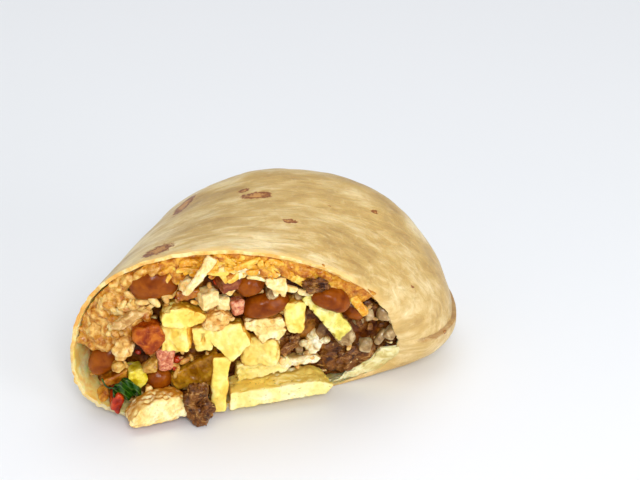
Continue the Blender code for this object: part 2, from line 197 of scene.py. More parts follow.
def meltTogether(obj, voxel, softness):
    # separate bits become one skin, and their joints soften
    remeshed(obj, voxel)
    soft = obj.modifiers.new("soft", "SMOOTH")
    soft.factor = 0.5
    soft.iterations = softness
    settle(obj)
    bpy.ops.object.shade_smooth()


# Material nodes.

def colour(red, green, blue):
    def linear(value):
        value /= 255
        return value / 12.92 if value <= 0.04045 else ((value + 0.055) / 1.055) ** 2.4
    return (linear(red), linear(green), linear(blue), 1.0)


def newMaterial(name, roughness=0.5, subsurface=0.0, reach=1.0, coat=0.0, specular=0.3):
    material = bpy.data.materials.new(name)
    material.use_nodes = True
    tree = material.node_tree
    shader = tree.nodes["Principled BSDF"]
    shader.inputs["Roughness"].default_value = roughness
    shader.inputs["Specular IOR Level"].default_value = specular
    shader.inputs["Subsurface Weight"].default_value = subsurface
    shader.inputs["Subsurface Radius"].default_value = (1.0, 0.55, 0.3)
    shader.inputs["Subsurface Scale"].default_value = reach * mm
    shader.inputs["Coat Weight"].default_value = coat
    shader.inputs["Coat Roughness"].default_value = 0.12
    return material, tree, shader


def addNode(tree, kind, inputs, **settings):
    made = tree.nodes.new(kind)
    for name, value in settings.items():
        setattr(made, name, value)
    for name, value in inputs.items():
        if isinstance(value, bpy.types.NodeSocket):
            tree.links.new(value, made.inputs[name])
        else:
            made.inputs[name].default_value = value
    return made


def millimetres(tree):
    place = addNode(tree, "ShaderNodeTexCoord", {}).outputs["Object"]
    scaled = addNode(tree, "ShaderNodeVectorMath", {0: place}, operation="SCALE")
    scaled.inputs["Scale"].default_value = 1000
    return scaled.outputs[0]


def stretched(tree, vector, scale, turn=(0, 0, 0)):
    inputs = {"Vector": vector, "Scale": scale, "Rotation": [math.radians(value) for value in turn]}
    return addNode(tree, "ShaderNodeMapping", inputs).outputs[0]


def noiseAt(tree, vector, size, detail=3, rough=0.5, distortion=0.0):
    inputs = {"Vector": vector, "Scale": 1 / size, "Detail": detail, "Roughness": rough}
    inputs["Distortion"] = distortion
    return addNode(tree, "ShaderNodeTexNoise", inputs).outputs[0]


def rampOf(tree, value, stops):
    # stops: (position, colour), the first and last hold beyond them
    made = addNode(tree, "ShaderNodeValToRGB", {0: value})
    elements = made.color_ramp.elements
    while len(elements) < len(stops):
        elements.new(0.5)
    for element, (position, tone) in zip(elements, stops):
        element.position = position
        element.color = tone
    return made.outputs[0]


def tonesOver(tree, value, tones, positions):
    return rampOf(tree, value, [(at, colour(*tone)) for at, tone in zip(positions, tones)])


def levelOf(tree, value, low, high, toLow=0.0, toHigh=1.0):
    inputs = {"Value": value, "From Min": low, "From Max": high, "To Min": toLow, "To Max": toHigh}
    return addNode(tree, "ShaderNodeMapRange", inputs).outputs[0]


def mixOf(tree, factor, first, second):
    inputs = {0: factor, 6: first, 7: second}
    return addNode(tree, "ShaderNodeMix", inputs, data_type="RGBA").outputs[2]


def tintOver(tree, tone, value, low, high, share, tint):
    # the tint over the tone: none of it at the low value, and that share at the high one
    return mixOf(tree, levelOf(tree, value, low, high, 0.0, share), tone, tint)


def mathOf(tree, operation, first, second):
    return addNode(tree, "ShaderNodeMath", {0: first, 1: second}, operation=operation).outputs[0]


def attributeOf(tree, name):
    return addNode(tree, "ShaderNodeAttribute", {}, attribute_name=name).outputs["Fac"]


def addBump(tree, shader, height, depth):
    # depth is how high full white stands, in millimetres; calls stack
    made = addNode(tree, "ShaderNodeBump", {"Height": height, "Strength": 1.0})
    made.inputs["Distance"].default_value = depth * mm
    socket = shader.inputs["Normal"]
    if socket.is_linked:
        tree.links.new(socket.links[0].from_socket, made.inputs["Normal"])
    tree.links.new(made.outputs[0], socket)


# Foods: three tones over patches, specks of a fourth, edges painted lighter and hollows darker (painted
# light and shade, with some wear and grease), uneven gloss and a fine grain. Sizes are in millimetres.
# Surface is roughness, coat and glow, patches are their size and the specks' share, and grain is its size
# and depth. Some have sides, the tone of faces turned away from the cut face and the front lamp, partly
# fried colour and partly painted shade; pepper, the tone of small dark dots; or shine, in place of the
# usual gloss.
foods = {
    "bean": {"tones": [(106, 42, 2), (132, 61, 4), (154, 79, 9)], "speck": (70, 20, 2),
             "patches": (5.0, 0.15), "grain": (1.2, 0.03), "surface": (0.2, 0.08, 0.1),
             "shine": 0.1},
    "tomato": {"tones": [(120, 36, 2), (158, 66, 6), (192, 104, 22)], "speck": (216, 132, 50),
               "patches": (3.2, 0.25), "grain": (0.9, 0.06), "surface": (0.16, 0.12, 0.15),
               "shine": 0.15},
    "tomatoDeep": {"tones": [(128, 18, 2), (174, 40, 6), (206, 78, 16)], "speck": (180, 70, 20),
                   "patches": (3.0, 0.3), "grain": (0.9, 0.06), "surface": (0.18, 0.2, 0.2)},
    "tomatoBrown": {"tones": [(92, 30, 6), (126, 54, 20), (160, 88, 40)], "speck": (176, 96, 50),
                    "patches": (3.0, 0.3), "grain": (0.9, 0.08), "surface": (0.22, 0.15, 0.2)},
    "onion": {"tones": [(170, 120, 56), (204, 162, 92), (232, 206, 152)], "speck": (176, 112, 60),
              "patches": (2.6, 0.35), "grain": (0.7, 0.08), "surface": (0.24, 0.15, 0.45)},
    "onionWhite": {"tones": [(228, 190, 112), (243, 216, 146), (252, 236, 182)], "speck": (190, 140, 90),
                   "patches": (2.6, 0.25), "grain": (0.7, 0.08), "surface": (0.24, 0.15, 0.45)},
    "onionGold": {"tones": [(150, 98, 24), (190, 140, 52), (216, 180, 96)], "speck": (128, 70, 14),
                  "patches": (2.8, 0.35), "grain": (0.8, 0.08), "surface": (0.22, 0.2, 0.4)},
    "onionGrey": {"tones": [(122, 88, 44), (162, 128, 78), (204, 180, 132)], "speck": (80, 48, 22),
                  "patches": (2.6, 0.25), "grain": (0.8, 0.1), "surface": (0.2, 0.25, 0.35)},
    "onionBrown": {"tones": [(84, 46, 8), (122, 80, 24), (158, 120, 56)], "speck": (62, 30, 6),
                   "patches": (2.6, 0.4), "grain": (0.8, 0.1), "surface": (0.2, 0.25, 0.3)},
    "radish": {"tones": [(170, 74, 46), (204, 124, 84), (232, 178, 136)], "speck": (150, 24, 44),
               "patches": (1.6, 0.75), "grain": (0.7, 0.06), "surface": (0.24, 0.15, 0.4)},
    "pepperYellow": {"tones": [(196, 160, 10), (226, 204, 44), (240, 226, 96)], "speck": (182, 140, 20),
                     "patches": (3.0, 0.3), "grain": (0.8, 0.05), "surface": (0.2, 0.2, 0.3)},
    "pepperOrange": {"tones": [(136, 66, 4), (170, 96, 10), (196, 134, 34)], "speck": (110, 44, 4),
                     "patches": (3.0, 0.35), "grain": (0.9, 0.06), "surface": (0.22, 0.2, 0.25)},
    "potato": {"tones": [(238, 200, 78), (248, 222, 110), (253, 236, 150)], "speck": (224, 178, 50),
               "patches": (4.0, 0.3), "grain": (0.8, 0.12), "surface": (0.42, 0.0, 0.25),
               "sides": (222, 152, 26)},
    "potatoPale": {"tones": [(234, 204, 94), (243, 221, 122), (250, 235, 162)], "speck": (234, 196, 78),
                   "patches": (4.0, 0.25), "grain": (0.8, 0.12), "surface": (0.42, 0.0, 0.25),
                   "sides": (222, 160, 34)},
    "potatoCream": {"tones": [(232, 192, 104), (247, 224, 150), (254, 241, 194)], "speck": (200, 136, 44),
                    "patches": (4.5, 0.35), "grain": (0.9, 0.22), "surface": (0.5, 0.0, 0.25),
                    "sides": (206, 134, 30)},
    "potatoWhite": {"tones": [(214, 184, 116), (240, 226, 176), (252, 246, 216)], "speck": (150, 112, 48),
                    "patches": (3.0, 0.35), "grain": (0.8, 0.22), "surface": (0.45, 0.0, 0.3),
                    "sides": (214, 170, 90)},
    "fry": {"tones": [(234, 194, 76), (246, 218, 104), (252, 234, 146)], "speck": (228, 184, 56),
            "patches": (6.0, 0.25), "grain": (0.9, 0.08), "surface": (0.4, 0.05, 0.25),
            "sides": (212, 148, 24)},
    "fryPale": {"tones": [(230, 210, 112), (239, 226, 148), (246, 239, 192)], "speck": (226, 192, 84),
                "patches": (9.0, 0.25), "grain": (1.0, 0.08), "surface": (0.42, 0.05, 0.25),
                "sides": (240, 208, 96), "pepper": (92, 84, 34)},
    "fryGolden": {"tones": [(134, 82, 4), (180, 124, 16), (218, 166, 40)], "speck": (116, 64, 6),
                  "patches": (5.0, 0.35), "grain": (0.9, 0.08), "surface": (0.3, 0.15, 0.2)},
    "fryGreen": {"tones": [(190, 168, 44), (226, 212, 96), (250, 242, 168)], "speck": (164, 132, 34),
                 "patches": (6.0, 0.3), "grain": (0.9, 0.08), "surface": (0.36, 0.1, 0.25),
                 "sides": (168, 136, 30)},
    "crumb": {"tones": [(208, 146, 58), (234, 190, 106), (250, 224, 162)], "speck": (170, 98, 26),
              "patches": (2.6, 0.4), "grain": (0.7, 0.14), "surface": (0.45, 0.0, 0.3),
              "sides": (200, 134, 52)},
    "cheese": {"tones": [(152, 74, 2), (192, 118, 10), (228, 176, 60)], "speck": (242, 200, 104),
               "patches": (2.4, 0.3), "grain": (1.0, 0.06), "surface": (0.3, 0.1, 0.3)},
    "cheeseMelt": {"tones": [(202, 126, 14), (226, 162, 34), (246, 206, 92)], "speck": (254, 232, 160),
                   "patches": (4.0, 0.35), "grain": (1.0, 0.06), "surface": (0.26, 0.15, 0.35)},
    "cheesePale": {"tones": [(232, 184, 96), (247, 220, 150), (253, 240, 196)], "speck": (222, 162, 70),
                   "patches": (3.0, 0.3), "grain": (0.9, 0.1), "surface": (0.34, 0.05, 0.4)},
    "rice": {"tones": [(158, 82, 6), (198, 134, 34), (238, 198, 112)], "speck": (246, 214, 144),
             "patches": (2.6, 0.4), "grain": (1.4, 0.1), "surface": (0.3, 0.12, 0.3)},
    "riceLight": {"tones": [(190, 124, 32), (218, 168, 76), (244, 214, 144)], "speck": (252, 236, 190),
                  "patches": (3.0, 0.3), "grain": (1.2, 0.08), "surface": (0.3, 0.1, 0.35)},
    # the filling's mush: dark tones, partly the sauce's own colour and partly painted shade in the gaps
    # between the pieces
    "mush": {"tones": [(58, 18, 4), (112, 56, 10), (172, 110, 28)], "speck": (44, 12, 4),
             "patches": (6.0, 0.5), "grain": (1.5, 0.3), "surface": (0.24, 0.05, 0.1),
             "shine": 0.2},
}


def foodMaterial(name):
    food = foods[name]
    rough, coat, glow = food["surface"]
    patchSize, specks = food["patches"]
    grainSize, grainDepth = food["grain"]
    material, tree, shader = newMaterial(name, rough, glow, 1.6, coat, food.get("shine", 0.3))
    place = millimetres(tree)
    low, middle, high = [colour(*tone) for tone in food["tones"]]
    broad = noiseAt(tree, place, patchSize, 3, 0.55, 0.4)
    tone = rampOf(tree, broad, [(0.34, low), (0.5, middle), (0.66, high)])
    grain = noiseAt(tree, place, grainSize, 4, 0.6)
    tone = tintOver(tree, tone, grain, 0.52, 0.66, specks, colour(*food["speck"]))
    form = addNode(tree, "ShaderNodeNewGeometry", {}).outputs["Pointiness"]
    # pointiness paints light and shade into the tone: edges lighter, partly worn crumbs and partly painted
    # highlight; hollows darker, painted shade with some grease
    tone = tintOver(tree, tone, form, 0.52, 0.60, 0.3, high)
    tone = tintOver(tree, tone, form, 0.48, 0.40, 0.5, low)
    if "sides" in food:
        # faces turned away from the cut face and the front lamp take the sides tone: partly their fried
        # colour, partly painted shade
        normal = addNode(tree, "ShaderNodeTexCoord", {}).outputs["Normal"]
        facing = addNode(tree, "ShaderNodeVectorMath", {0: normal, 1: (-0.15, -0.95, 0.28)},
                         operation="DOT_PRODUCT").outputs["Value"]
        uneven = mathOf(tree, "ADD", facing, levelOf(tree, broad, 0.3, 0.7, -0.15, 0.15))
        tone = tintOver(tree, tone, uneven, 0.75, 0.25, 1.0, colour(*food["sides"]))
    if "pepper" in food:
        dots = noiseAt(tree, place, 1.1, 2, 0.7, 1.0)
        tone = tintOver(tree, tone, dots, 0.65, 0.70, 0.8, colour(*food["pepper"]))
    tree.links.new(tone, shader.inputs["Base Color"])
    gloss = levelOf(tree, broad, 0.3, 0.7, rough * 0.75, rough * 1.4)
    tree.links.new(gloss, shader.inputs["Roughness"])
    addBump(tree, shader, grain, grainDepth * 2)
    addBump(tree, shader, noiseAt(tree, place, grainSize * 3, 2), grainDepth * 2.5)
    return material


materials = {name: foodMaterial(name) for name in foods}


# Seared beef: dark crust, pale fat in streaks along the fibres, wet all over.
steakLook = {"crust": (52, 22, 4), "meat": (108, 60, 16), "seared": (130, 80, 30), "fat": (190, 142, 76),
             "fibre": 1.9}


def steakMaterial():
    material, tree, shader = newMaterial("steak", 0.26, 0.1, 1.0, 0.08, 0.2)
    place = millimetres(tree)
    fibres = stretched(tree, place, (0.55, 1.0, 1.2), (0, 40, 0))
    streak = noiseAt(tree, fibres, steakLook["fibre"], 4, 0.6, 0.8)
    broad = noiseAt(tree, place, 3.2, 4, 0.65, 0.9)
    crust, meat, seared, fat = [colour(*steakLook[key]) for key in ("crust", "meat", "seared", "fat")]
    tone = rampOf(tree, broad, [(0.36, crust), (0.48, meat), (0.6, seared), (0.7, fat)])
    tone = tintOver(tree, tone, streak, 0.56, 0.68, 0.75, fat)
    tone = tintOver(tree, tone, streak, 0.46, 0.36, 0.6, crust)
    tree.links.new(tone, shader.inputs["Base Color"])
    addBump(tree, shader, streak, 0.5)
    addBump(tree, shader, noiseAt(tree, place, 0.7, 3), 0.15)
    return material


materials["steak"] = steakMaterial()


leafLook = {"dark": (10, 36, 2), "green": (34, 76, 8), "vein": (92, 126, 34)}


def leafMaterial():
    material, tree, shader = newMaterial("leaf", 0.18, 0.05, 0.5, 0.2, 0.2)
    place = millimetres(tree)
    dark, green, vein = [colour(*leafLook[key]) for key in ("dark", "green", "vein")]
    tone = rampOf(tree, noiseAt(tree, place, 2.2, 3, 0.6), [(0.38, dark), (0.6, green)])
    lines = addNode(tree, "ShaderNodeTexWave", {"Vector": place, "Scale": 0.28, "Distortion": 3.0},
                    bands_direction="DIAGONAL").outputs["Fac"]
    tone = tintOver(tree, tone, lines, 0.86, 0.98, 0.5, vein)
    tree.links.new(tone, shader.inputs["Base Color"])
    addBump(tree, shader, lines, 0.15)
    return material


materials["leaf"] = leafMaterial()
print("food materials made")


# The wrap's form, in millimetres and degrees. It follows the CAD shell, but for the end's corners.
wrap = {
    "turn": 56, "halfWidth": 45.0, "height": cadHigh.z / mm, "widest": 0.35,
    "underside": 3.0, "flattening": 1.04,
    "endReach": 76.0, "endSlant": 12.0, "endLength": 34.0, "endPower": 2.2,
    "endTaper": 0.40, "endHeight": 0.30, "sag": 16.5, "sagOnset": 0.7,
    "wall": 1.2, "rings": 96, "columns": 288,
}
cut = {"back": 1.0, "lean": -14.0, "bow": 7.5, "wave": -6.0, "twist": 13.6, "curl": 4.6}
wrapTurn = math.radians(wrap["turn"])
widestHeight = wrap["widest"] * wrap["height"]


def section(angle, share=1.0, inset=0.0, ending=0.0):
    cos, sin = math.cos(angle), math.sin(angle)
    half = wrap["halfWidth"] - inset
    if sin >= 0:
        across = half * cos
        height = widestHeight + (wrap["height"] - inset - widestHeight) * sin
    else:
        power = 2 / wrap["underside"]
        power += (1 - power) * ending
        across = half * math.copysign(abs(cos) ** power, cos)
        height = widestHeight - wrap["flattening"] * widestHeight * abs(sin) ** power
        height = max(height, inset)
    return across * share, widestHeight + (height - widestHeight) * share


def cutOffset(across, height):
    left = across / wrap["halfWidth"]
    up = height / wrap["height"]
    bend = cut["bow"] * left ** 2 + cut["wave"] * left * (1 - left ** 2)
    return cut["back"] + cut["lean"] * up + bend + cut["twist"] * left * up + cut["curl"] * up ** 2


def alongAtCut(across, height, behind=0.0):
    return -across / math.tan(wrapTurn) + (cutOffset(across, height) + behind) / math.sin(wrapTurn)


# How far the folded end's two corners are drawn in, in millimetres.
endLook = {"corner": 4.0}


def endAlong(angle):
    rounded = endLook["corner"] * math.cos(angle) ** 4
    return wrap["endReach"] - wrap["endSlant"] * math.cos(angle) - rounded


def intoEnd(along, end):
    return min(max((along - (end - wrap["endLength"])) / wrap["endLength"], 0.0), 1.0)


def bodyPoint(along, across, height, angle, start):
    end = endAlong(angle)
    closing = max(1 - intoEnd(along, end) ** wrap["endPower"], 0.0) ** (1 / wrap["endPower"])
    travel = min(max((along - start) / (end - start), 0.0), 1.0)
    rightSide = (1 - across / wrap["halfWidth"]) / 2
    low = min(max(1 - height / wrap["height"], 0.0), 1.0)
    sag = wrap["sag"] * rightSide ** 2 * low * math.sin(math.pi * travel ** wrap["sagOnset"])
    across = across * (1 - (1 - closing) * wrap["endTaper"]) - sag
    height = height * closing + (1 - closing) * wrap["endHeight"] * wrap["height"]
    x = along * math.cos(wrapTurn) - across * math.sin(wrapTurn)
    y = along * math.sin(wrapTurn) + across * math.cos(wrapTurn)
    return Vector((x, y, height))


def shellPoint(angle, travel, ragged=0.0):
    across, height = section(angle)
    start = alongAtCut(across, height)
    end = endAlong(angle)
    along = start + ragged + (end - start - ragged) * travel
    across, height = section(angle, ending=intoEnd(along, end) ** 2)
    return bodyPoint(along, across, height, angle, start)


def fillPoint(angle, share, behind, inset=1.6):
    # a place in the filling, this far behind the cut
    across, height = section(angle, share, inset)
    along = alongAtCut(across, height, behind)
    return bodyPoint(along, across, height, angle, alongAtCut(across, height))


def shellCorner():
    # what to take off so that the shell's left and cut sides stand where the node's do
    outline = [shellPoint(math.radians(angle), step / 40) for angle in range(0, 360, 3) for step in range(41)]
    low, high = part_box("tortilla")
    corner = Vector((0, 0, 0))
    for i in range(2):
        corner[i] = min(point[i] for point in outline) - low[i] / mm
    return corner


frameCorner = shellCorner()


def placed(point):
    return (point - frameCorner) * mm


# The tortilla: how ragged its cut edge is, and what marks its skin. Angles run from its left side
# over the top; distances are millimetres behind the cut edge.
tortillaLook = {
    "ragged": 0.45, "raggedLow": 1.1, "crinkle": 0.35, "undulation": 0.7, "flakes": 0.16,
    "skin": [(168, 130, 70), (202, 168, 100), (238, 216, 164)],
    "stain": (240, 200, 118), "toasted": (196, 116, 40),
    # scars: angle, share of the way back, length around, width along
    "scars": [(66, 0.08, 9, 7), (88, 0.46, 9, 4.5), (54, 0.54, 5, 15)],
    "freckles": 9, "freckleSize": (1.0, 4.5),
    "seam": 188, "lap": 1.3, "lapReach": 70, "pleats": 6, "pleat": 1.1, "pleatFrom": 0.72,
    # crease is the tone of painted shade under the lap's edge and in the grooves where the end is folded
    "creaseShade": (150, 104, 56), "char": [(176, 118, 52), (120, 60, 12), (150, 88, 28), (196, 140, 72)],
    # inside is pale: partly the soaked inner wall's own colour, partly painted light lifting a wall that lies
    # in shade
    "inside": [(248, 204, 106), (254, 228, 146), (255, 242, 190)], "insideStain": (244, 164, 56),
    "edge": [(226, 166, 74), (238, 196, 110), (246, 220, 154)], "edgeLow": (222, 208, 158),
    "edgeLayers": (198, 128, 58),
}


def angleOf(column, columns):
    # round the wrap from underneath; the last column meets the first
    return -math.pi / 2 + 2 * math.pi * (column % columns) / columns


def ringTravel(step):
    # close rings at the cut, and again where the end closes
    nearRings, near = 26, 0.13
    if step <= nearRings:
        return near * step / nearRings
    rest = (step - nearRings) / (wrap["rings"] - nearRings)
    return near + (1 - near) * math.sin(math.pi / 2 * rest)


def lowLeft(angle):
    # 1 at the lower left of the cut, 0 elsewhere
    return max(math.cos(angle + math.radians(20)), 0.0) ** 2


def raggedEdge(angle):
    place = Vector((math.cos(angle) * 9, math.sin(angle) * 9, 4.0))
    small = noise.noise(place * 1.3) + 0.6 * noise.noise(place * 3.1)
    amount = tortillaLook["ragged"] + (tortillaLook["raggedLow"] - tortillaLook["ragged"]) * lowLeft(angle)
    return amount * small


def lapAt(angle):
    # the wrap's free edge lies over its own flank, and fades away from there
    past = (angle - math.radians(tortillaLook["seam"])) % (2 * math.pi)
    fade = 1 - past / math.radians(tortillaLook["lapReach"])
    return tortillaLook["lap"] * max(fade, 0.0)


def lapShows(behind, travel):
    # nothing at the cut edge and where the end is folded shut
    return min(behind / 6, 1.0) * min((1 - travel) / 0.08, 1.0)


def pleatAt(angle, travel):
    # grooves that run together where the end is folded shut, alike on both of the sides that meet there
    across = math.cos(angle)
    uneven = noise.noise(Vector((across * 2, 0, 7.0)))
    into = max(travel - tortillaLook["pleatFrom"] - 0.3 * uneven, 0.0) / (1 - tortillaLook["pleatFrom"])
    groove = 1 - abs(math.sin(tortillaLook["pleats"] * across + 7 * uneven))
    # no groove runs round the side, where it would close into a loop
    return min(into, 1.0) * groove ** 3 * abs(math.sin(angle)) * (0.7 + uneven)


def relief(point, angle, behind, travel):
    # how far the skin stands in or out
    broad = tortillaLook["undulation"] * noise.noise(point / 19)
    broad += 0.35 * noise.noise(point / 8 + Vector((3, 1, 4)))
    streaks = Vector((angle * 5.0, behind * 0.85, 2.0))
    flakes = tortillaLook["flakes"] * noise.noise(streaks) * math.exp(-behind / 9)
    crinkle = tortillaLook["crinkle"] * (0.5 + lowLeft(angle)) * math.exp(-behind / 2.2)
    edge = crinkle * noise.noise(Vector((math.cos(angle) * 14, math.sin(angle) * 14, behind / 3)))
    folded = lapAt(angle) * lapShows(behind, travel) - tortillaLook["pleat"] * pleatAt(angle, travel)
    return broad * min(behind / 10, 1.0) + flakes + edge + folded


def creaseShadeAt(angle, behind, travel):
    # painted shade: the shadowed line under the lap's edge, and the bottoms of the grooves
    away = abs((angle - math.radians(tortillaLook["seam"]) + math.pi) % math.tau - math.pi)
    line = math.exp(-away * wrap["halfWidth"] / 1.1) * lapShows(behind, travel)
    return max(line, 0.9 * pleatAt(angle, travel))


def stainAt(angle):
    # grease at the cut edge: over the top and down the left, little at the lower right
    return min(max(0.5 + 0.9 * math.cos(angle - math.radians(70)), 0.08), 1.0)


def charSpots():
    # the scars, and freckles scattered over the upper skin
    chance = random.Random(8)
    spots = [(math.radians(angle), back, around / 2, along / 2)
             for angle, back, around, along in tortillaLook["scars"]]
    for _ in range(tortillaLook["freckles"]):
        size = chance.uniform(*tortillaLook["freckleSize"])
        spots.append((chance.uniform(-0.3, math.pi + 0.3), chance.uniform(0.15, 0.95),
                      size / 2, size * chance.uniform(0.3, 0.6)))
    return spots


charPlaces = charSpots()


def charAt(angle, travel, length):
    amount = 0.0
    radius = 0.5 * (wrap["halfWidth"] + wrap["height"] - widestHeight)
    for spotAngle, spotBack, halfAround, halfAlong in charPlaces:
        turned = (angle - spotAngle + math.pi) % (2 * math.pi) - math.pi
        reach = math.hypot(turned * radius / halfAround, (travel - spotBack) * length / halfAlong)
        amount = max(amount, 1 - reach / 2)
    return amount


# How far the wrap's flat spot stays above the table, in millimetres.
tableGap = 0.05


def buildTortilla():
    columns, rings = wrap["columns"], wrap["rings"]
    shell = addGrid(columns, rings)
    mesh = shell.data
    # the wall's modifier gives its faces the later slots, so they have to be there before it runs
    for key in ("skin", "inside", "edge"):
        mesh.materials.append(materials[key])
    kept = {"behind": [], "around": [], "char": [], "stain": [], "travel": [], "toast": [], "creaseShade": []}
    for vertex, column, ring in gridPoints(shell, columns):
        angle = angleOf(column, columns)
        travel = ringTravel(ring)
        across, height = section(angle)
        length = endAlong(angle) - alongAtCut(across, height)
        behind = travel * length
        ragged = raggedEdge(angle) * math.exp(-behind / 5)
        vertex.co = placed(shellPoint(angle, travel, ragged))
        kept["behind"].append(behind)
        kept["around"].append(angle)
        kept["char"].append(charAt(angle, travel, length))
        kept["stain"].append(stainAt(angle))
        kept["travel"].append(travel)
        kept["toast"].append(0.75 * lowLeft(angle) ** 2 * math.exp(-behind / 3))
        # painted shade along the lap's edge and in the grooves of the folded end
        kept["creaseShade"].append(creaseShadeAt(angle, behind, travel))
    for name, values in kept.items():
        mesh.attributes.new(name, "FLOAT", "POINT").data.foreach_set("value", values)
    mesh.update()
    activate(shell)
    faceOutwards(0.00002)
    behinds = [item.value for item in mesh.attributes["behind"].data]
    arounds = [item.value for item in mesh.attributes["around"].data]
    travels = [item.value for item in mesh.attributes["travel"].data]
    normals = [vertex.normal.copy() for vertex in mesh.vertices]
    for vertex, normal, behind, angle, travel in zip(mesh.vertices, normals, behinds, arounds, travels):
        vertex.co += normal * relief(vertex.co / mm, angle, behind, travel) * mm
    keepAboveTable(shell, tableGap)
    wall = shell.modifiers.new("wall", "SOLIDIFY")
    wall.thickness = wrap["wall"] * mm
    wall.offset = -1
    wall.material_offset = 1
    wall.material_offset_rim = 2
    lip = shell.modifiers.new("lip", "BEVEL")
    lip.width = 0.3 * mm
    lip.segments = 2
    lip.limit_method = "ANGLE"
    lip.angle_limit = math.radians(62)
    settle(shell)
    keepAboveTable(shell, tableGap)
    bpy.ops.object.shade_smooth()
    return shell


def tortillaTone(tree, place, behind):
    # long wrinkles along the cut and down the flanks, over broad greasy patches
    dark, mid, light = [colour(*tone) for tone in tortillaLook["skin"]]
    streak = noiseAt(tree, stretched(tree, place, (0.07, 0.42, 0.2)), 1.0, 5, 0.68, 0.8)
    patches = noiseAt(tree, stretched(tree, place, (0.6, 1.1, 1)), 15.0, 3, 0.5, 0.2)
    flecks = noiseAt(tree, place, 2.6, 4, 0.6, 0.4)
    blend = mixOf(tree, levelOf(tree, behind, 45, 3, 0.3, 0.5), patches, streak)
    tone = rampOf(tree, blend, [(0.32, dark), (0.48, mid), (0.64, light)])
    tone = tintOver(tree, tone, flecks, 0.56, 0.68, 0.25, light)
    return tintOver(tree, tone, flecks, 0.44, 0.34, 0.2, dark), streak, flecks


def skinMaterial():
    material, tree, shader = newMaterial("tortillaSkin", 0.4, 0.2, 1.6, 0.08, 0.4)
    place = millimetres(tree)
    behind = attributeOf(tree, "behind")
    tone, streak, flecks = tortillaTone(tree, place, behind)
    patches = noiseAt(tree, place, 7.0, 3, 0.6)
    uneven = mathOf(tree, "ADD", behind, levelOf(tree, patches, 0.3, 0.7, -2.0, 2.0))
    soaked = mathOf(tree, "MULTIPLY", levelOf(tree, uneven, 3.2, 0.2, 0.0, 0.75), attributeOf(tree, "stain"))
    stain = mixOf(tree, soaked, tone, colour(*tortillaLook["stain"]))
    torn = levelOf(tree, noiseAt(tree, place, 2.2, 4, 0.6, 0.5), 0.3, 0.7, -0.2, 0.2)
    toast = mathOf(tree, "ADD", attributeOf(tree, "toast"), torn)
    stain = tintOver(tree, stain, toast, 0.45, 0.75, 0.6, colour(*tortillaLook["toasted"]))
    # painted shade: the crease tone darkens the line under the lap's edge and the bottoms of the grooves
    creaseShade = mathOf(tree, "ADD", attributeOf(tree, "creaseShade"), torn)
    stain = tintOver(tree, stain, creaseShade, 0.3, 0.7, 0.7, colour(*tortillaLook["creaseShade"]))
    # char: a dark ring round a tan middle, with a torn outline
    ragged = noiseAt(tree, place, 1.7, 4, 0.65, 0.8)
    char = mathOf(tree, "ADD", attributeOf(tree, "char"), levelOf(tree, ragged, 0.3, 0.7, -0.17, 0.17))
    brown = tonesOver(tree, char, tortillaLook["char"], (0.5, 0.58, 0.68, 0.8))
    toned = tintOver(tree, stain, char, 0.44, 0.53, 1.0, brown)
    tree.links.new(toned, shader.inputs["Base Color"])
    addBump(tree, shader, flecks, 0.2)
    addBump(tree, shader, streak, 0.5)
    addBump(tree, shader, noiseAt(tree, place, 0.6, 3), 0.06)
    return material


def insideMaterial():
    material, tree, shader = newMaterial("tortillaInside", 0.42, 0.6, 4.0, 0.1, 0.2)
    place = millimetres(tree)
    broad = noiseAt(tree, place, 6.0, 4, 0.6, 0.6)
    # tones lifted pale: partly the inner wall's own colour, partly painted light for a wall the lamps leave
    # in shade
    tone = tonesOver(tree, broad, tortillaLook["inside"], (0.36, 0.5, 0.66))
    stain = noiseAt(tree, stretched(tree, place, (1, 1, 1.4)), 8.0, 3, 0.6, 0.4)
    tone = tintOver(tree, tone, stain, 0.52, 0.7, 0.7, colour(*tortillaLook["insideStain"]))
    tree.links.new(tone, shader.inputs["Base Color"])
    addBump(tree, shader, broad, 0.4)
    addBump(tree, shader, noiseAt(tree, place, 1.2, 3), 0.15)
    return material


def edgeMaterial():
    material, tree, shader = newMaterial("tortillaEdge", 0.5, 0.2, 1.2, 0.1, 0.4)
    place = millimetres(tree)
    broad = noiseAt(tree, place, 5.0, 3, 0.6, 0.5)
    tone = tonesOver(tree, broad, tortillaLook["edge"], (0.38, 0.5, 0.62))
    tone = tintOver(tree, tone, attributeOf(tree, "stain"), 0.5, 0.1, 1.0, colour(*tortillaLook["edgeLow"]))
    layers = noiseAt(tree, place, 0.7, 3)
    tone = tintOver(tree, tone, layers, 0.55, 0.7, 0.2, colour(*tortillaLook["edgeLayers"]))
    tree.links.new(tone, shader.inputs["Base Color"])
    addBump(tree, shader, layers, 0.2)
    return material


materials["skin"] = skinMaterial()
materials["inside"] = insideMaterial()
materials["edge"] = edgeMaterial()
tortilla = buildTortilla()
finishPiece(tortilla, "tortillaWrap", [materials[key] for key in ("skin", "inside", "edge")],
            ["tortilla"])
print("tortilla built")


# A loose ply of the wrap along the lower right of the cut, where the tortilla is folded under.
plyLook = {"from": -168, "to": -112, "share": 0.95, "front": -0.6, "depth": 9.0, "wave": 0.7,
           "thickness": 0.9, "tones": [(196, 170, 94), (222, 206, 140), (242, 234, 186)]}


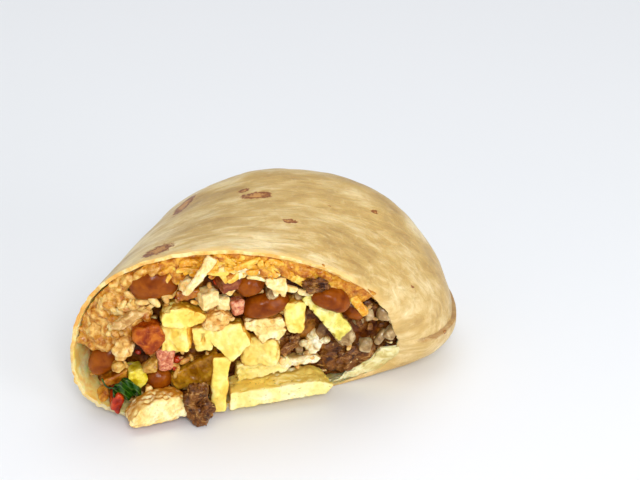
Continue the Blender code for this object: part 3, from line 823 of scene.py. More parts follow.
def buildPly():
    columns, rows = 70, 16
    ply = addGrid(columns, rows)
    for vertex, column, row in gridPoints(ply, columns):
        column, row = column / columns, row / rows
        angle = math.radians(plyLook["from"] + (plyLook["to"] - plyLook["from"]) * column)
        behind = plyLook["front"] + plyLook["depth"] * row
        ripple = noise.noise(Vector((column * 6, row * 1.5, 3.0)))
        lift = math.sin(math.pi * column) * (1 - row) * (0.6 + ripple)
        share = plyLook["share"] - plyLook["wave"] * 0.1 * lift
        vertex.co = placed(fillPoint(angle, share, behind + ripple))
    wall = ply.modifiers.new("thickness", "SOLIDIFY")
    wall.thickness = plyLook["thickness"] * mm
    wall.offset = 0
    soft = ply.modifiers.new("soft", "BEVEL")
    soft.width = 0.25 * mm
    soft.limit_method = "ANGLE"
    roughen(ply, 4.0, 0.7)
    settle(ply)
    keepAboveTable(ply)
    faceOutwards()
    bpy.ops.object.shade_smooth()
    finishPiece(ply, "tortillaPly", [materials["ply"]])


def plyMaterial():
    # soaked through: pale, a little translucent
    material, tree, shader = newMaterial("tortillaPly", 0.36, 0.35, 1.6, 0.2)
    place = millimetres(tree)
    broad = noiseAt(tree, place, 4.0, 4, 0.6, 0.6)
    tone = tonesOver(tree, broad, plyLook["tones"], (0.36, 0.5, 0.64))
    tree.links.new(tone, shader.inputs["Base Color"])
    addBump(tree, shader, broad, 0.4)
    return material


materials["ply"] = plyMaterial()
buildPly()


# The moist filling behind the pieces: one solid, from just behind them most of the way to the folded
# end, and a little inside the wrap so that none of it comes through. Its dark tones are partly the
# sauce's own colour and partly painted shade for the gaps between the pieces.
coreLook = {"inset": 2.2, "behind": 7.4, "reach": 0.72, "tip": 0.6, "lumps": (3.4, 3.36, 0.6),
            "grit": (1.2, 0.7), "columns": 150, "rings": 64, "frontRings": 48}


def buildCore():
    columns, rings = coreLook["columns"], coreLook["rings"]
    core = addGrid(columns, rings)
    frontRings = coreLook["frontRings"]
    for vertex, column, ring in gridPoints(core, columns):
        angle = angleOf(column, columns)
        share = min(ring / frontRings, 1.0)
        across, height = section(angle, share, coreLook["inset"])
        start = alongAtCut(across, height, coreLook["behind"])
        back = max(ring - frontRings, 0) / (rings - frontRings)
        end = start + (endAlong(angle) - start) * coreLook["reach"]
        along = start + (end - start) * back
        if ring == rings:
            across, height = 0.0, widestHeight
            along = coreLook["tip"] * wrap["endReach"]
        vertex.co = placed(bodyPoint(along, across, height, angle, alongAtCut(across, height)))
    activate(core)
    faceOutwards(0.00002)
    roughen(core, *coreLook["lumps"])
    roughen(core, *coreLook["grit"])
    settle(core)
    bpy.ops.object.shade_smooth()
    return core


core = buildCore()
coreNodes = ["potatoes", "salsa", "fries", "steak_strips"]
finishPiece(core, "fillingCore", [materials["mush"]], coreNodes)
print("core built")


# Small things that repeat: each is modelled once, then copied with its own mesh, turned and joined.

def grainShape():
    # a grain of rice with blunt ends
    bpy.ops.mesh.primitive_uv_sphere_add(segments=8, ring_count=7, radius=0.5)
    shape = bpy.context.object
    for vertex in shape.data.vertices:
        vertex.co.z = math.copysign(abs(2 * vertex.co.z) ** 0.8 / 2, vertex.co.z)
    bpy.ops.object.shade_smooth()
    return shape


def bitShape(uneven, seed):
    # a torn or diced bit: a block with uneven corners, softened
    bpy.ops.mesh.primitive_cube_add(size=0.8)
    shape = bpy.context.object
    bpy.ops.object.mode_set(mode="EDIT")
    bpy.ops.mesh.subdivide(number_cuts=1)
    bpy.ops.transform.vertex_random(offset=uneven, seed=seed)
    bpy.ops.object.mode_set(mode="OBJECT")
    smoothOut(shape, 1)
    settle(shape)
    bpy.ops.object.shade_smooth()
    return shape


def shredShape(seed):
    # a long flat strip of cheese, bowed along its length
    bpy.ops.mesh.primitive_cube_add(size=1)
    shape = bpy.context.object
    bpy.ops.object.mode_set(mode="EDIT")
    bpy.ops.mesh.subdivide(number_cuts=1)
    bpy.ops.object.mode_set(mode="OBJECT")
    smoothOut(shape, 2)
    settle(shape)
    for vertex in shape.data.vertices:
        along = 2 * vertex.co.x
        vertex.co.x = math.copysign(abs(along) ** 0.8 / 2, along)
        vertex.co.z += 0.4 * (1 - along ** 2) * (seed - 2)
        vertex.co.y += 0.35 * math.sin(2.4 * along + seed)
    bpy.ops.object.shade_smooth()
    return shape


def scatterCopies(shapes, places, name):
    # places: (point in metres, size, rotation)
    copies = []
    for index, (point, size, rotation) in enumerate(places):
        copy = shapes[index % len(shapes)].copy()
        copy.data = copy.data.copy()
        bpy.context.collection.objects.link(copy)
        copy.data.transform(Matrix.LocRotScale(point, rotation, Vector(size)))
        copies.append(copy)
    for shape in shapes:
        bpy.data.objects.remove(shape)
    return joinAll(copies, name)


def randomTurn(chance):
    return Matrix.Rotation(chance.uniform(0, math.tau), 3, "X") @ Matrix.Rotation(
        chance.uniform(0, math.tau), 3, "Z")


def lyingTurn(chance, tilt):
    # long side roughly in the cut's plane
    spin = Matrix.Rotation(chance.uniform(0, math.pi), 3, "Y")
    return Matrix.Rotation(chance.uniform(-tilt, tilt), 3, "Z") @ spin


# Rice: a clump of grains under the wrap at the upper left, on a lumpy heap. Deep is how far behind
# the cut the grains lie, behind is the heap's, and fineness is the melted skin's, in millimetres.
riceLook = {"grains": 190, "length": 5.4, "width": 2.5, "from": 8, "to": 62, "share": 0.64,
            "thinFrom": 44, "thinShare": 0.9, "deep": (0.8, 3.6), "behind": 4.6, "fineness": 0.34}
heapLook = {"columns": 40, "rings": 30, "outer": 0.99, "depth": 5, "bumps": [(3.0, 1.8), (1.1, 0.6)]}


def heapCore(name, look):
    # the heap's lumpy body, between the wrap and the other fillings
    columns, rings = heapLook["columns"], heapLook["rings"]
    heap = addGrid(columns, rings)
    for vertex, column, ring in gridPoints(heap, columns):
        degrees = look["from"] + (look["to"] - look["from"]) * column / columns
        angle = math.radians(degrees)
        inner = look["share"] if degrees < look["thinFrom"] else look["thinShare"]
        share = inner + (heapLook["outer"] - inner) * ring / rings
        vertex.co = placed(fillPoint(angle, share, look["behind"]))
    activate(heap)
    wall = heap.modifiers.new("depth", "SOLIDIFY")
    wall.thickness = heapLook["depth"] * mm
    wall.offset = 0.4
    roughenAll(heap, heapLook["bumps"])
    settle(heap)
    faceOutwards()
    bpy.ops.object.shade_smooth()
    heap.name = name
    return heap


def buildRice():
    chance = random.Random(5)
    places = []
    for _ in range(riceLook["grains"]):
        degrees = chance.uniform(riceLook["from"] - 3, riceLook["to"] + 4)
        angle = math.radians(degrees)
        inner = riceLook["share"] - 0.02 if degrees < riceLook["thinFrom"] else riceLook["thinShare"]
        share = chance.uniform(inner, 0.97)
        point = placed(fillPoint(angle, share, chance.uniform(*riceLook["deep"])))
        length = riceLook["length"] * chance.uniform(0.6, 1.1) * mm
        width = riceLook["width"] * chance.uniform(0.85, 1.2) * mm
        places.append((point, (width, width * 0.92, length), lyingTurn(chance, 0.7)))
    grains = scatterCopies([grainShape()], places, "riceGrains")
    heap = heapCore("riceHeap", riceLook)
    whole = joinAll([grains, heap], "riceHeap")
    meltTogether(whole, riceLook["fineness"], 1)
    return whole


rice = buildRice()
finishPiece(rice, "riceHeap", [materials["rice"]], ["rice"])


# Cheese: shreds half melted together under the top of the wrap.
cheeseLook = {"shreds": 150, "length": 11.0, "width": 2.0, "from": 66, "to": 152, "share": 0.86,
              "thinFrom": 200, "thinShare": 0.86, "deep": (1.6, 4.4), "behind": 5.0, "fineness": 0.42}


def buildCheese():
    chance = random.Random(11)
    places = []
    for _ in range(cheeseLook["shreds"]):
        degrees = chance.uniform(cheeseLook["from"] - 4, cheeseLook["to"])
        angle = math.radians(degrees)
        share = chance.uniform(cheeseLook["share"] - 0.05, 0.93)
        point = placed(fillPoint(angle, share, chance.uniform(*cheeseLook["deep"])))
        length = cheeseLook["length"] * chance.uniform(0.4, 1.15) * mm
        width = cheeseLook["width"] * chance.uniform(0.6, 1.2) * mm
        lean = math.radians(degrees - 90) * 0.8 + chance.gauss(0, 0.35)
        rotation = Matrix.Rotation(chance.uniform(-0.5, 0.5), 3, "Z") @ Matrix.Rotation(lean, 3, "Y")
        places.append((point, (length, width * 0.8, width), rotation))
    shreds = scatterCopies([shredShape(seed) for seed in (1, 2, 3)], places, "cheeseShreds")
    heap = heapCore("cheeseHeap", cheeseLook)
    whole = joinAll([shreds, heap], "cheeseShreds")
    meltTogether(whole, cheeseLook["fineness"], 1)
    return whole


cheese = buildCheese()
finishPiece(cheese, "cheeseShreds", [materials["cheese"]], ["cheese_shreds"])
print("rice and cheese built")


# Beans: plump ovals, hollowed along one side. Shape is across, through and up, and tilt is in the
# cut's plane, in degrees; each is then fitted to its node.
beans = {
    "bean_top_left": {"shape": (13, 8, 10.5), "tilt": 5},
    "bean_left": {"shape": (13, 7.5, 8.5), "tilt": 40},
    "bean_low_left": {"shape": (7, 6.5, 8), "tilt": 0},
    "bean_top": {"shape": (8, 6.5, 7.5), "tilt": 20},
    "bean_centre": {"shape": (13.5, 7.5, 8.5), "tilt": 10},
    "bean_right": {"shape": (11, 7, 7.5), "tilt": -25},
    "bean_far_right": {"shape": (8.5, 6, 7), "tilt": -35},
}


beanForm = {"hollow": 0.10, "grow": 1.15, "bumps": [(5.0, 0.9), (2.0, 0.2)]}


def tiltPiece(obj, tilt, turn=0.0, lean=0.0):
    # turned in the cut's plane, then about the vertical, then leant back
    turned = Matrix.Rotation(math.radians(turn), 4, "Z") @ Matrix.Rotation(math.radians(-tilt), 4, "Y")
    obj.data.transform(Matrix.Rotation(math.radians(-lean), 4, "X") @ turned)


def buildBean(node, look):
    bpy.ops.mesh.primitive_uv_sphere_add(segments=40, ring_count=28, radius=0.5, rotation=(0, math.pi / 2, 0))
    bean = bpy.context.object
    settle(bean)
    for vertex in bean.data.vertices:
        bend = math.cos(math.pi * vertex.co.x) * (0.5 - vertex.co.z) - 0.5
        vertex.co.z += beanForm["hollow"] * bend
    bean.data.transform(Matrix.Diagonal((*[value * mm for value in look["shape"]], 1)))
    tiltPiece(bean, look["tilt"])
    fitToNode(bean, node, beanForm["grow"])
    roughenAll(bean, beanForm["bumps"])
    settleOnTable(bean)
    finishPiece(bean, pieceName(node), [materials["bean"]], [node])


for node, look in beans.items():
    buildBean(node, look)
print("beans built")


# Outlines that the chunks are cut to, as shares of a piece's own width and height.
outlines = {
    "square": [(-0.5, -0.5), (0.5, -0.45), (0.5, 0.5), (-0.5, 0.5)],
    "leaning": [(-0.3, -0.5), (0.4, -0.5), (0.5, 0.5), (-0.5, 0.45)],
    "kite": [(0.0, -0.5), (0.5, -0.05), (0.25, 0.5), (-0.45, 0.4), (-0.5, 0.05)],
    "wedge": [(-0.5, 0.5), (0.4, 0.45), (0.5, -0.1), (0.3, -0.5), (0.1, -0.3), (-0.1, -0.5), (-0.3, 0),
              (-0.5, 0.15)],
    "bar": [(-0.5, -0.5), (0.4, -0.25), (0.5, 0.2), (0.35, 0.5), (-0.5, 0.4)],
    "post": [(-0.4, -0.5), (0.2, -0.45), (0.45, 0.5), (-0.25, 0.5)],
    "slant": [(-0.5, 0.3), (-0.15, 0.5), (0.5, -0.3), (0.2, -0.5)],
    "slab": [(-0.5, -0.15), (0.5, 0.5), (0.45, -0.35), (-0.3, -0.5)],
    "loaf": [(-0.5, -0.25), (-0.35, -0.5), (0.5, -0.4), (0.45, 0.4), (0.1, 0.5), (-0.3, 0.25)],
    "flake": [(-0.5, -0.2), (0, -0.5), (0.5, 0.1), (0.1, 0.5), (-0.35, 0.3)],
}

# Potato, fries, tomato, onion, pepper and cheese. Each fills its node's box a little over full, or by
# its own grow, and is turned about the vertical and leant back by degrees. Forward is how far it is
# drawn out of the filling, in millimetres. A piece with no outline is a soft lump.
chunks = {
    "potato_front": {"outline": "loaf", "finish": "potatoCream", "soft": 1.8, "crumble": 0.9, "turn": 8},
    "potato_cube_left": {"outline": "square", "finish": "potato", "turn": -28, "lean": 8},
    "potato_cube_slit": {"outline": "leaning", "finish": "potatoPale", "turn": -8, "slit": 0.3},
    "potato_diamond": {"outline": "kite", "finish": "potatoPale", "turn": -14, "lean": 14, "grow": 1.25},
    "potato_beige": {"outline": "flake", "finish": "crumb", "crumble": 1.6, "grow": 1.2},
    "potato_wedge": {"outline": "wedge", "finish": "potatoCream", "crumble": 1.3, "grow": 1.2},
    "potato_cube_right": {"outline": "square", "finish": "potatoPale", "soft": 1.3, "turn": -22},
    "fry_upper": {"finish": "fry", "crumble": 1.5, "lobes": 3, "grow": 1.25},
    "fry_upright": {"outline": "post", "finish": "fry", "crumble": 0.4, "turn": -8, "grow": 1.05},
    "fry_long": {"outline": "bar", "finish": "fryPale", "crumble": 0.5, "grow": 1.08},
    "fry_short": {"outline": "leaning", "finish": "potato", "crumble": 0.8, "turn": -16, "forward": 1.0},
    "fry_slanted": {"outline": "slant", "finish": "fryGreen", "crumble": 0.9, "lean": 8, "forward": 2.6},
    "fry_golden_slab": {"outline": "slab", "finish": "fryGolden", "turn": -12},
    "fry_pale_slab": {"outline": "bar", "finish": "fryPale", "crumble": 1.2},
    "tomato_left": {"outline": "kite", "finish": "tomato", "soft": 1.2, "crumble": 0.3},
    "tomato_low": {"outline": "flake", "finish": "tomatoDeep", "crumble": 0.2, "grow": 1.5, "forward": 3.0},
    "tomato_top": {"outline": "square", "finish": "tomatoBrown", "crumble": 0.4, "turn": 20},
    "onion_pink": {"outline": "leaning", "finish": "radish", "crumble": 0.4},
    "onion_white": {"outline": "square", "finish": "onionWhite", "crumble": 0.5, "turn": 24, "grow": 0.9},
    "onion_red": {"outline": "leaning", "finish": "radish", "crumble": 0.5, "lean": 10},
    "onion_grey": {"finish": "onionGrey", "crumble": 0.5, "forward": 1.5},
    "onion_pale_strand": {"outline": "slant", "finish": "onion", "crumble": 0.3, "mirror": True},
    "pepper_yellow": {"outline": "kite", "finish": "pepperYellow", "crumble": 0.2},
    "pepper_orange": {"outline": "slab", "finish": "pepperOrange", "crumble": 0.2},
    "radish_bit": {"outline": "slab", "finish": "onionGold", "crumble": 0.5},
    "cheese_flake_left": {"outline": "flake", "finish": "cheesePale", "crumble": 0.5},
    "cheese_flake_right": {"outline": "wedge", "finish": "cheesePale", "crumble": 0.9},
    "cheese_curl": {"outline": "slant", "finish": "cheeseMelt", "crumble": 0.3},
    "cheese_smear": {"outline": "slab", "finish": "cheese", "crumble": 0.2, "grow": 1.0, "forward": 0.5},
}

# What a chunk has unless its row says otherwise. Bumps are their size and height and hollows their
# size, in millimetres, and back is how much of the outline is left behind.
chunkForm = {
    "grow": 1.14, "thinnest": 3.0, "soft": 0.7, "crumble": 0.7, "fineness": 0.38, "bite": 1.5,
    "swelling": (4.5, 1.3), "crumbs": [(1.5, 0.42), (0.7, 0.16)], "slitWidth": 0.08, "slitDepth": 2.4,
    "back": 0.9, "hollow": 1.4, "hollowFrom": 0.12,
}

# More bits that have no CAD solid: beside which node, how far across, up and forward in shares of
# that node's box, and size in millimetres.
besides = {
    "creamChip": {"by": ("onion_white", 1.0, 0.4, 0.2), "size": (4, 3, 4),
                  "finish": "cheesePale", "outline": "flake"},
    "pepperBand": {"by": ("fry_upper", 0.2, 1.1, 0), "size": (8, 4, 4),
                   "finish": "pepperOrange", "outline": "bar"},
    "onionMiddle": {"by": ("onion_red", -1.0, 0.3, 0), "size": (4, 4, 5),
                    "finish": "onionWhite", "outline": "square"},
    "onionClear": {"by": ("bean_top", 0.9, -0.5, 0), "size": (5, 4, 5),
                   "finish": "onionGrey"},
    "greyBit": {"by": ("fry_slanted", -0.25, 0.15, 0.7), "size": (3, 2, 4),
                "finish": "onionGrey"},
    "onionStrip": {"by": ("fry_golden_slab", -0.4, 0.6, 0.2), "size": (8, 3, 5),
                   "finish": "onionGold", "outline": "slant", "mirror": True},
    "onionLeft": {"by": ("crumbs_left", -0.3, -0.7, 0), "size": (5, 4, 4),
                  "finish": "onionGold", "outline": "flake"},
    "onionLow": {"by": ("onion_pink", -0.4, 0.9, 0), "size": (5, 4, 4),
                 "finish": "onion"},
    "crumbPink": {"by": ("leaf", 0.9, -0.1, 0), "size": (3, 3, 4),
                  "finish": "crumb", "outline": "flake"},
    "tomatoSkin": {"by": ("leaf", 0.9, -0.7, 0), "size": (4, 3, 3),
                   "finish": "tomatoDeep", "outline": "flake"},
    "onionBead": {"by": ("steak_small", -0.4, -0.6, 0.3), "size": (3, 3, 3),
                  "finish": "onionWhite"},
    "eggBand": {"by": ("fry_long", 0.25, 1.1, -0.3), "size": (13, 5, 4),
                "finish": "potatoWhite", "outline": "bar"},
    "onionBrown": {"by": ("onion_grey", -0.9, 0.1, 0), "size": (4, 4, 8),
                   "finish": "onionBrown"},
    "onionGreySmall": {"by": ("onion_grey", 0.8, 0.3, 0), "size": (4, 4, 4),
                       "finish": "onionGrey"},
}


def lobedOutline(lobes, seed):
    # a round outline with a few soft swellings
    count = 16
    points = []
    for number in range(count):
        angle = math.tau * number / count
        radius = 0.46 + 0.05 * math.cos(lobes * angle + seed) + 0.04 * math.cos(2 * angle + 2 * seed)
        points.append((radius * math.cos(angle), radius * math.sin(angle)))
    return points


def cutSolid(points, size):
    # the outline at the piece's own size, drawn back to its depth, a little smaller behind
    corners = [Vector((x * size[0], -size[1] / 2, z * size[2])) for x, z in points]
    mesh = bpy.data.meshes.new("chunk")
    mesh.from_pydata(corners, [], [range(len(corners))])
    solid = addObject("chunk", mesh)
    activate(solid)
    bpy.ops.object.mode_set(mode="EDIT")
    bpy.ops.mesh.select_all(action="SELECT")
    bpy.ops.mesh.extrude_region_move(TRANSFORM_OT_translate={"value": (0, size[1], 0)})
    bpy.ops.transform.resize(value=(chunkForm["back"], 1, chunkForm["back"]))
    bpy.ops.object.mode_set(mode="OBJECT")
    faceOutwards()
    return solid


def bite(obj, amount, seed):
    # small hollows where crumbs have come away
    offset = Vector((seed * 4.7, seed * 2.3, seed))
    for vertex, normal in [(vertex, vertex.normal.copy()) for vertex in obj.data.vertices]:
        uneven = noise.noise(vertex.co / mm / chunkForm["hollow"] + offset)
        depth = max(uneven - chunkForm["hollowFrom"], 0.0)
        vertex.co -= normal * depth * amount * mm


def pressIn(obj, size, width, height, depth):
    # a slit pressed into the front, its width and height in shares of the piece
    for vertex in obj.data.vertices:
        across, up = vertex.co.x / (size[0] * width), vertex.co.z / (size[2] * height)
        inside = max(1 - across ** 2 - up ** 2, 0.0)
        if vertex.normal.y < -0.3:
            vertex.co.y += depth * inside ** 0.5 * mm


def buildChunk(seed, name, look, centre, size, nodes=()):
    crumble = look.get("crumble", chunkForm["crumble"])
    points = outlines[look["outline"]] if "outline" in look else lobedOutline(look.get("lobes", 2), seed)
    if look.get("mirror"):
        points = [(-x, z) for x, z in reversed(points)]
    chunk = cutSolid(points, size)
    edges = chunk.modifiers.new("edges", "BEVEL")
    edges.width = look.get("soft", chunkForm["soft"]) * mm
    edges.segments = 3
    remeshed(chunk, chunkForm["fineness"])
    settle(chunk)
    bite(chunk, chunkForm["bite"] * crumble, seed)
    if "slit" in look:
        pressIn(chunk, size, chunkForm["slitWidth"], look["slit"], chunkForm["slitDepth"])
    tiltPiece(chunk, 0, look.get("turn", 0), look.get("lean", 0))
    chunk.data.transform(Matrix.Translation(centre))
    roughen(chunk, *chunkForm["swelling"])
    roughenAll(chunk, chunkForm["crumbs"], crumble)
    settleOnTable(chunk)
    finishPiece(chunk, pieceName(name), [materials[look["finish"]]], nodes)


for seed, (node, look) in enumerate(chunks.items()):
    centre, size = nodeBox(node)
    size *= look.get("grow", chunkForm["grow"])
    size.y = max(size.y, chunkForm["thinnest"] * mm)
    centre.y -= look.get("forward", 0) * mm
    buildChunk(seed, node, look, centre, size, [node])
for seed, (name, look) in enumerate(besides.items()):
    node, across, up, forward = look["by"]
    centre, size = nodeBox(node)
    place = centre + Vector((across * size.x, -forward * size.y, up * size.z))
    buildChunk(seed + 50, name, look, place, Vector(look["size"]) * mm)
print("chunks built")


# Steak: torn nuggets with fibres pulled out in ridges. Fibre is the ridges' length each way.
steaks = {
    "steak_hanging": {"tilt": 6, "fibre": (1.6, 1.6, 3.4)},
    "steak_right": {"tilt": 6, "fibre": (4.0, 2.0, 1.7)},
    "steak_small": {"tilt": -30, "fibre": (1.4, 2.0, 4.0)},
    "steak_top_right": {"tilt": -15, "fibre": (4.4, 1.6, 1.1)},
    "steak_tip": {"tilt": -20, "fibre": (1.8, 1.8, 2.6)},
}


# Lumps are their size and height, in millimetres.
steakForm = {"grow": 1.15, "lumps": [(4.2, 2.2), (1.9, 0.9)], "ridge": 0.7, "fray": 0.3, "inwards": 0.8}


def buildSteak(seed, node, look):
    centre, size = nodeBox(node)
    bpy.ops.mesh.primitive_ico_sphere_add(subdivisions=6, radius=0.5)
    steak = bpy.context.object
    steak.data.transform(Matrix.Diagonal((*(size * steakForm["grow"]), 1)))
    offset = Vector((seed * 7.1, seed * 3.3, 0))
    for vertex in steak.data.vertices:
        way = vertex.co / mm
        stretchedPlace = Vector(way[i] / look["fibre"][i] for i in range(3)) + offset
        lumpy = sum(height * noise.noise(way / lump + offset) for lump, height in steakForm["lumps"])
        ridges = steakForm["ridge"] * (1 - abs(noise.noise(stretchedPlace)) * 2.2)
        fine = steakForm["fray"] * noise.noise(stretchedPlace * 2.6)
        vertex.co += way.normalized() * (lumpy + ridges + fine - steakForm["inwards"]) * mm
    tiltPiece(steak, look["tilt"])
    steak.data.transform(Matrix.Translation(centre))
    settleOnTable(steak)
    finishPiece(steak, pieceName(node), [materials["steak"]], [node])


for seed, (node, look) in enumerate(steaks.items()):
    buildSteak(seed, node, look)
print("steak built")


def tubeThrough(points, radii, roundness):
    # a round cord through the points, with its radius at each in millimetres, made a mesh
    curve = bpy.data.curves.new("tube", "CURVE")
    curve.dimensions = "3D"
    curve.bevel_depth = mm
    curve.bevel_resolution = roundness
    curve.use_fill_caps = True
    spline = curve.splines.new("BEZIER")
    spline.bezier_points.add(len(points) - 1)
    for bezier, point, radius in zip(spline.bezier_points, points, radii):
        bezier.co = point
        bezier.radius = radius
        bezier.handle_left_type = bezier.handle_right_type = "AUTO"
    activate(addObject("tube", curve))
    bpy.ops.object.convert(target="MESH")
    return bpy.context.object


# Crumbs of egg and potato, packed into a node's box.
crumbLook = {"count": 24, "size": 3.9, "fineness": 0.35, "bumps": [(0.9, 0.4)]}


def buildCrumbs(seed, node, finish):
    chance = random.Random(seed)
    low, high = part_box(node)
    centre, half = (low + high) / 2, (high - low) / 2
    places = []
    for _ in range(crumbLook["count"]):
        way = Vector([chance.gauss(0, 1) for _ in range(3)]).normalized() * chance.uniform(0.2, 0.85)
        point = centre + Vector(way[i] * half[i] for i in range(3))
        size = crumbLook["size"] * chance.uniform(0.6, 1.25) * mm
        places.append((point, (size, size * 0.8, size * chance.uniform(0.6, 1.0)), randomTurn(chance)))
    crumbs = scatterCopies([bitShape(0.2, 4), bitShape(0.22, 9)], places, pieceName(node))
    meltTogether(crumbs, crumbLook["fineness"], 3)
    roughenAll(crumbs, crumbLook["bumps"])
    settle(crumbs)
    finishPiece(crumbs, pieceName(node), [materials[finish]], [node])


buildCrumbs(21, "crumbs_left", "crumb")
buildCrumbs(22, "crumbs_right", "potatoWhite")


# The melted strand: it hangs across its node's box from the upper right to the lower left, and runs on
# past the lower end.
strandLook = {"points": 5, "start": 0.46, "past": 0.3, "bow": -0.3, "radius": 1.7, "taper": 0.4,
              "fineness": 0.35, "bumps": [(3.5, 1.6), (1.2, 0.6)]}


def buildStrand(node):
    centre, size = nodeBox(node)
    points, radii = [], []
    for number in range(strandLook["points"]):
        travel = number / (strandLook["points"] - 1)
        share = strandLook["start"] - travel * (1 + strandLook["past"])
        hang = (size.y / 2 + strandLook["bow"] * mm) * math.sin(math.pi * travel)
        points.append(centre + Vector((share * size.x, -hang, share * size.z)))
        radii.append(strandLook["radius"] * (1 - strandLook["taper"] * travel))
    strand = tubeThrough(points, radii, 4)
    remeshed(strand, strandLook["fineness"])
    settle(strand)
    roughenAll(strand, strandLook["bumps"])
    settle(strand)
    bpy.ops.object.shade_smooth()
    finishPiece(strand, pieceName(node), [materials["cheesePale"]], [node])


buildStrand("cheese_strand")
print("crumbs and strand built")


# The leaf: a wavy blade curled over its midrib, and its thin stem through points that are counted
# from the blade's left end. All in millimetres, before the blade is fitted to its node.
leafForm = {"curl": 2.6, "wave": 0.9, "length": 4.2, "height": 3.4, "thickness": 0.35, "tilt": -12,
            "grow": 1.15, "bumps": [(2.4, 0.8)],
            "stemWidth": 0.55, "stem": ((1.0, 0, 0), (-2.2, -0.4, 1.2), (-3.6, 0.2, 4.0))}


def buildLeaf(node):
    low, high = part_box(node)
    leaf = addGrid(30, 22)
    for vertex in leaf.data.vertices:
        along, side = vertex.co.x * 2, vertex.co.y * 2
        halfWidth = math.sqrt(max(1 - along ** 2, 0.0)) * (1.0 - 0.25 * along)
        up = side * halfWidth
        depth = -leafForm["curl"] * (1 - up ** 2) * 0.5 + leafForm["wave"] * math.sin(6 * along + 3 * up)
        vertex.co = Vector((along * leafForm["length"], depth, up * leafForm["height"])) * mm
    wall = leaf.modifiers.new("thickness", "SOLIDIFY")
    wall.thickness = leafForm["thickness"] * mm
    settle(leaf)
    tiltPiece(leaf, leafForm["tilt"])
    fitToNode(leaf, node, leafForm["grow"])
    faceOutwards(0.00005)
    roughenAll(leaf, leafForm["bumps"])
    smoothOut(leaf, 1)
    settle(leaf)
    bpy.ops.object.shade_smooth()
    tip = Vector((low.x, (low.y + high.y) / 2, (low.z + high.z) / 2 + mm))
    points = [tip + Vector(shift) * mm for shift in leafForm["stem"]]
    stem = tubeThrough(points, [leafForm["stemWidth"] / 2] * len(points), 3)
    joined = joinAll([leaf, stem], "leaf")
    finishPiece(joined, "leafBlade", [materials["leaf"]], [node])


buildLeaf("leaf")
print("leaf built")


# Loose bits between the pieces, one piece for each kind: where they lie, by share of the section
# and degrees from the left side, and how deep behind the cut.
bits = {
    "looseRice": {"count": 60, "size": (4.6, 1.7), "zone": (-60, 110, 0.15, 0.92), "finish": "rice",
                  "slot": "rice", "kind": "grain", "deep": (3.6, 6.2)},
    "looseCrumbs": {"count": 64, "size": (3.2, 1.8), "zone": (0, 360, 0.0, 0.92), "finish": "crumb",
                    "slot": "crumbs", "kind": "bit", "deep": (4.0, 6.4)},
    "looseOnion": {"count": 70, "size": (3.2, 1.6), "zone": (0, 360, 0.1, 0.9), "finish": "onion",
                   "slot": "onion", "kind": "bit", "deep": (4.2, 6.2)},
    "looseTomato": {"count": 26, "size": (3.0, 2.2), "zone": (-50, 120, 0.2, 0.9), "finish": "tomatoDeep",
                    "slot": "tomato", "kind": "bit", "deep": (4.4, 6.2)},
    "looseMeat": {"count": 50, "size": (3.6, 2.4), "zone": (110, 200, 0.2, 0.95), "finish": "steak",
                  "slot": "steak", "kind": "bit", "deep": (5.2, 7.2)},
    "looseGlassyOnion": {"count": 13, "size": (6.4, 4.4), "zone": (125, 200, 0.35, 0.9),
                         "finish": "onionGrey", "slot": "onion", "kind": "bit", "deep": (4.0, 6.0)},
    "looseShreds": {"count": 46, "size": (9.0, 1.9), "zone": (68, 150, 0.80, 0.93), "finish": "cheeseMelt",
                    "slot": "cheese", "kind": "shred", "deep": (0.6, 2.2)},
    "paleShreds": {"count": 16, "size": (7.0, 1.8), "zone": (70, 165, 0.74, 0.92), "finish": "cheesePale",
                   "slot": "cheese", "kind": "shred", "deep": (0.8, 2.6)},
    "riceOnTop": {"count": 46, "size": (4.8, 2.0), "zone": (10, 64, 0.66, 0.93), "finish": "riceLight",
                  "slot": "rice", "kind": "grain", "deep": (0.6, 2.4)},
}


def bitShapes(kind, seed):
    if kind == "grain":
        return [grainShape()]
    if kind == "shred":
        return [shredShape(seed) for seed in (1, 2, 3)]
    return [bitShape(0.2, seed), bitShape(0.24, seed + 5)]


def buildBits(seed, name, look):
    chance = random.Random(seed)
    first, last, inner, outer = look["zone"]
    length, width = look["size"]
    places = []
    for _ in range(look["count"]):
        angle = math.radians(chance.uniform(first, last))
        share = math.sqrt(chance.uniform(inner ** 2, outer ** 2))
        point = placed(fillPoint(angle, share, chance.uniform(*look["deep"])))
        long, wide = [value * chance.uniform(0.7, 1.25) * mm for value in (length, width)]
        if look["kind"] == "grain":
            places.append((point, (wide, wide * 0.9, long), lyingTurn(chance, 0.6)))
        elif look["kind"] == "shred":
            lean = Matrix.Rotation(angle - math.pi / 2 + chance.gauss(0, 0.4), 3, "Y")
            places.append((point, (long, wide * 0.8, wide), lean))
        else:
            places.append((point, (long, wide, wide * chance.uniform(0.7, 1.2)), randomTurn(chance)))
    shapes = bitShapes(look["kind"], seed)
    scattered = scatterCopies(shapes, places, name)
    finishPiece(scattered, name, [materials[look["finish"]]])


for seed, (name, look) in enumerate(bits.items()):
    buildBits(seed + 30, name, look)
print("loose bits built")


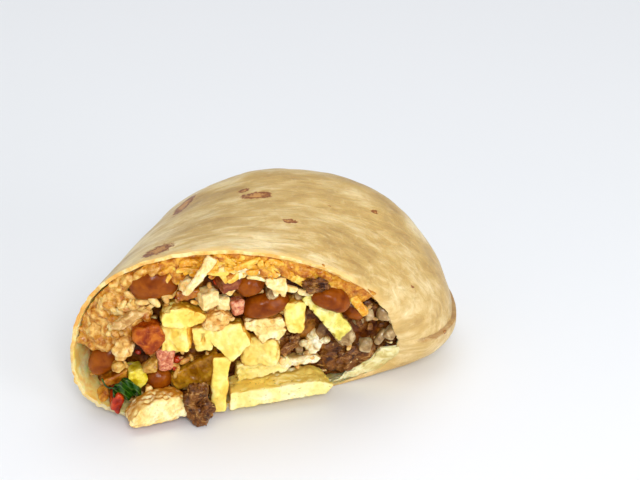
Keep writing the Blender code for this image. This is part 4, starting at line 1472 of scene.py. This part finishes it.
# Floor, light and camera.
studio = {
    "floor": (238, 240, 243), "floorLight": (240, 241, 244), "surround": 0.55,
    "key": {"place": (-0.1, -0.92, 0.66), "size": 0.34, "power": 5.8},
    "fill": {"place": (0.5, -0.75, 0.24), "size": 0.5, "power": 2.6},
    "side": {"place": (-0.75, -0.7, 0.28), "size": 0.7, "power": 0.4},
    "top": {"place": (0.05, 0.25, 1.2), "size": 1.2, "power": 4.2},
    "cameraTurn": -13.4, "cameraRise": 28.0, "cameraDistance": 0.87, "lens": 136,
    "aim": (0.038, 0.074, 0.0), "lampAim": (0, 0, 0.03),
}


def buildFloor():
    bpy.ops.mesh.primitive_circle_add(vertices=96, radius=4.0, fill_type="NGON")
    floor = bpy.context.object
    floor.name = "studioFloor"
    material, tree, shader = newMaterial("studioFloor", 0.6, specular=0.2)
    place = millimetres(tree)
    ends = [(0.3, colour(*studio["floor"])), (0.7, colour(*studio["floorLight"]))]
    tone = rampOf(tree, noiseAt(tree, place, 400, 2), ends)
    tree.links.new(tone, shader.inputs["Base Color"])
    floor.data.materials.append(material)


def addLamp(name):
    look = studio[name]
    lamp = bpy.data.lights.new(name, "AREA")
    lamp.shape = "DISK"
    lamp.size = look["size"]
    lamp.energy = look["power"]
    lampObject = addObject(name, lamp)
    lampObject.location = look["place"]
    aim = Vector(studio["lampAim"]) - Vector(look["place"])
    lampObject.rotation_euler = aim.to_track_quat("-Z", "Y").to_euler()


def addSurround():
    world = bpy.data.worlds.new("surround")
    world.use_nodes = True
    background = world.node_tree.nodes["Background"]
    background.inputs["Color"].default_value = (0.96, 0.98, 1.0, 1.0)
    background.inputs["Strength"].default_value = studio["surround"]
    bpy.context.scene.world = world


def addCamera():
    turn, rise = math.radians(studio["cameraTurn"]), math.radians(studio["cameraRise"])
    back = Vector((math.sin(turn) * math.cos(rise), -math.cos(turn) * math.cos(rise), math.sin(rise)))
    data = bpy.data.cameras.new("camera")
    data.lens = studio["lens"]
    data.sensor_width = 36
    camera = addObject("camera", data)
    camera.location = Vector(studio["aim"]) + back * studio["cameraDistance"]
    camera.rotation_euler = (-back).to_track_quat("-Z", "Y").to_euler()
    bpy.context.scene.camera = camera


buildFloor()
for name in ("key", "fill", "side", "top"):
    addLamp(name)
addSurround()
addCamera()
print("studio set")
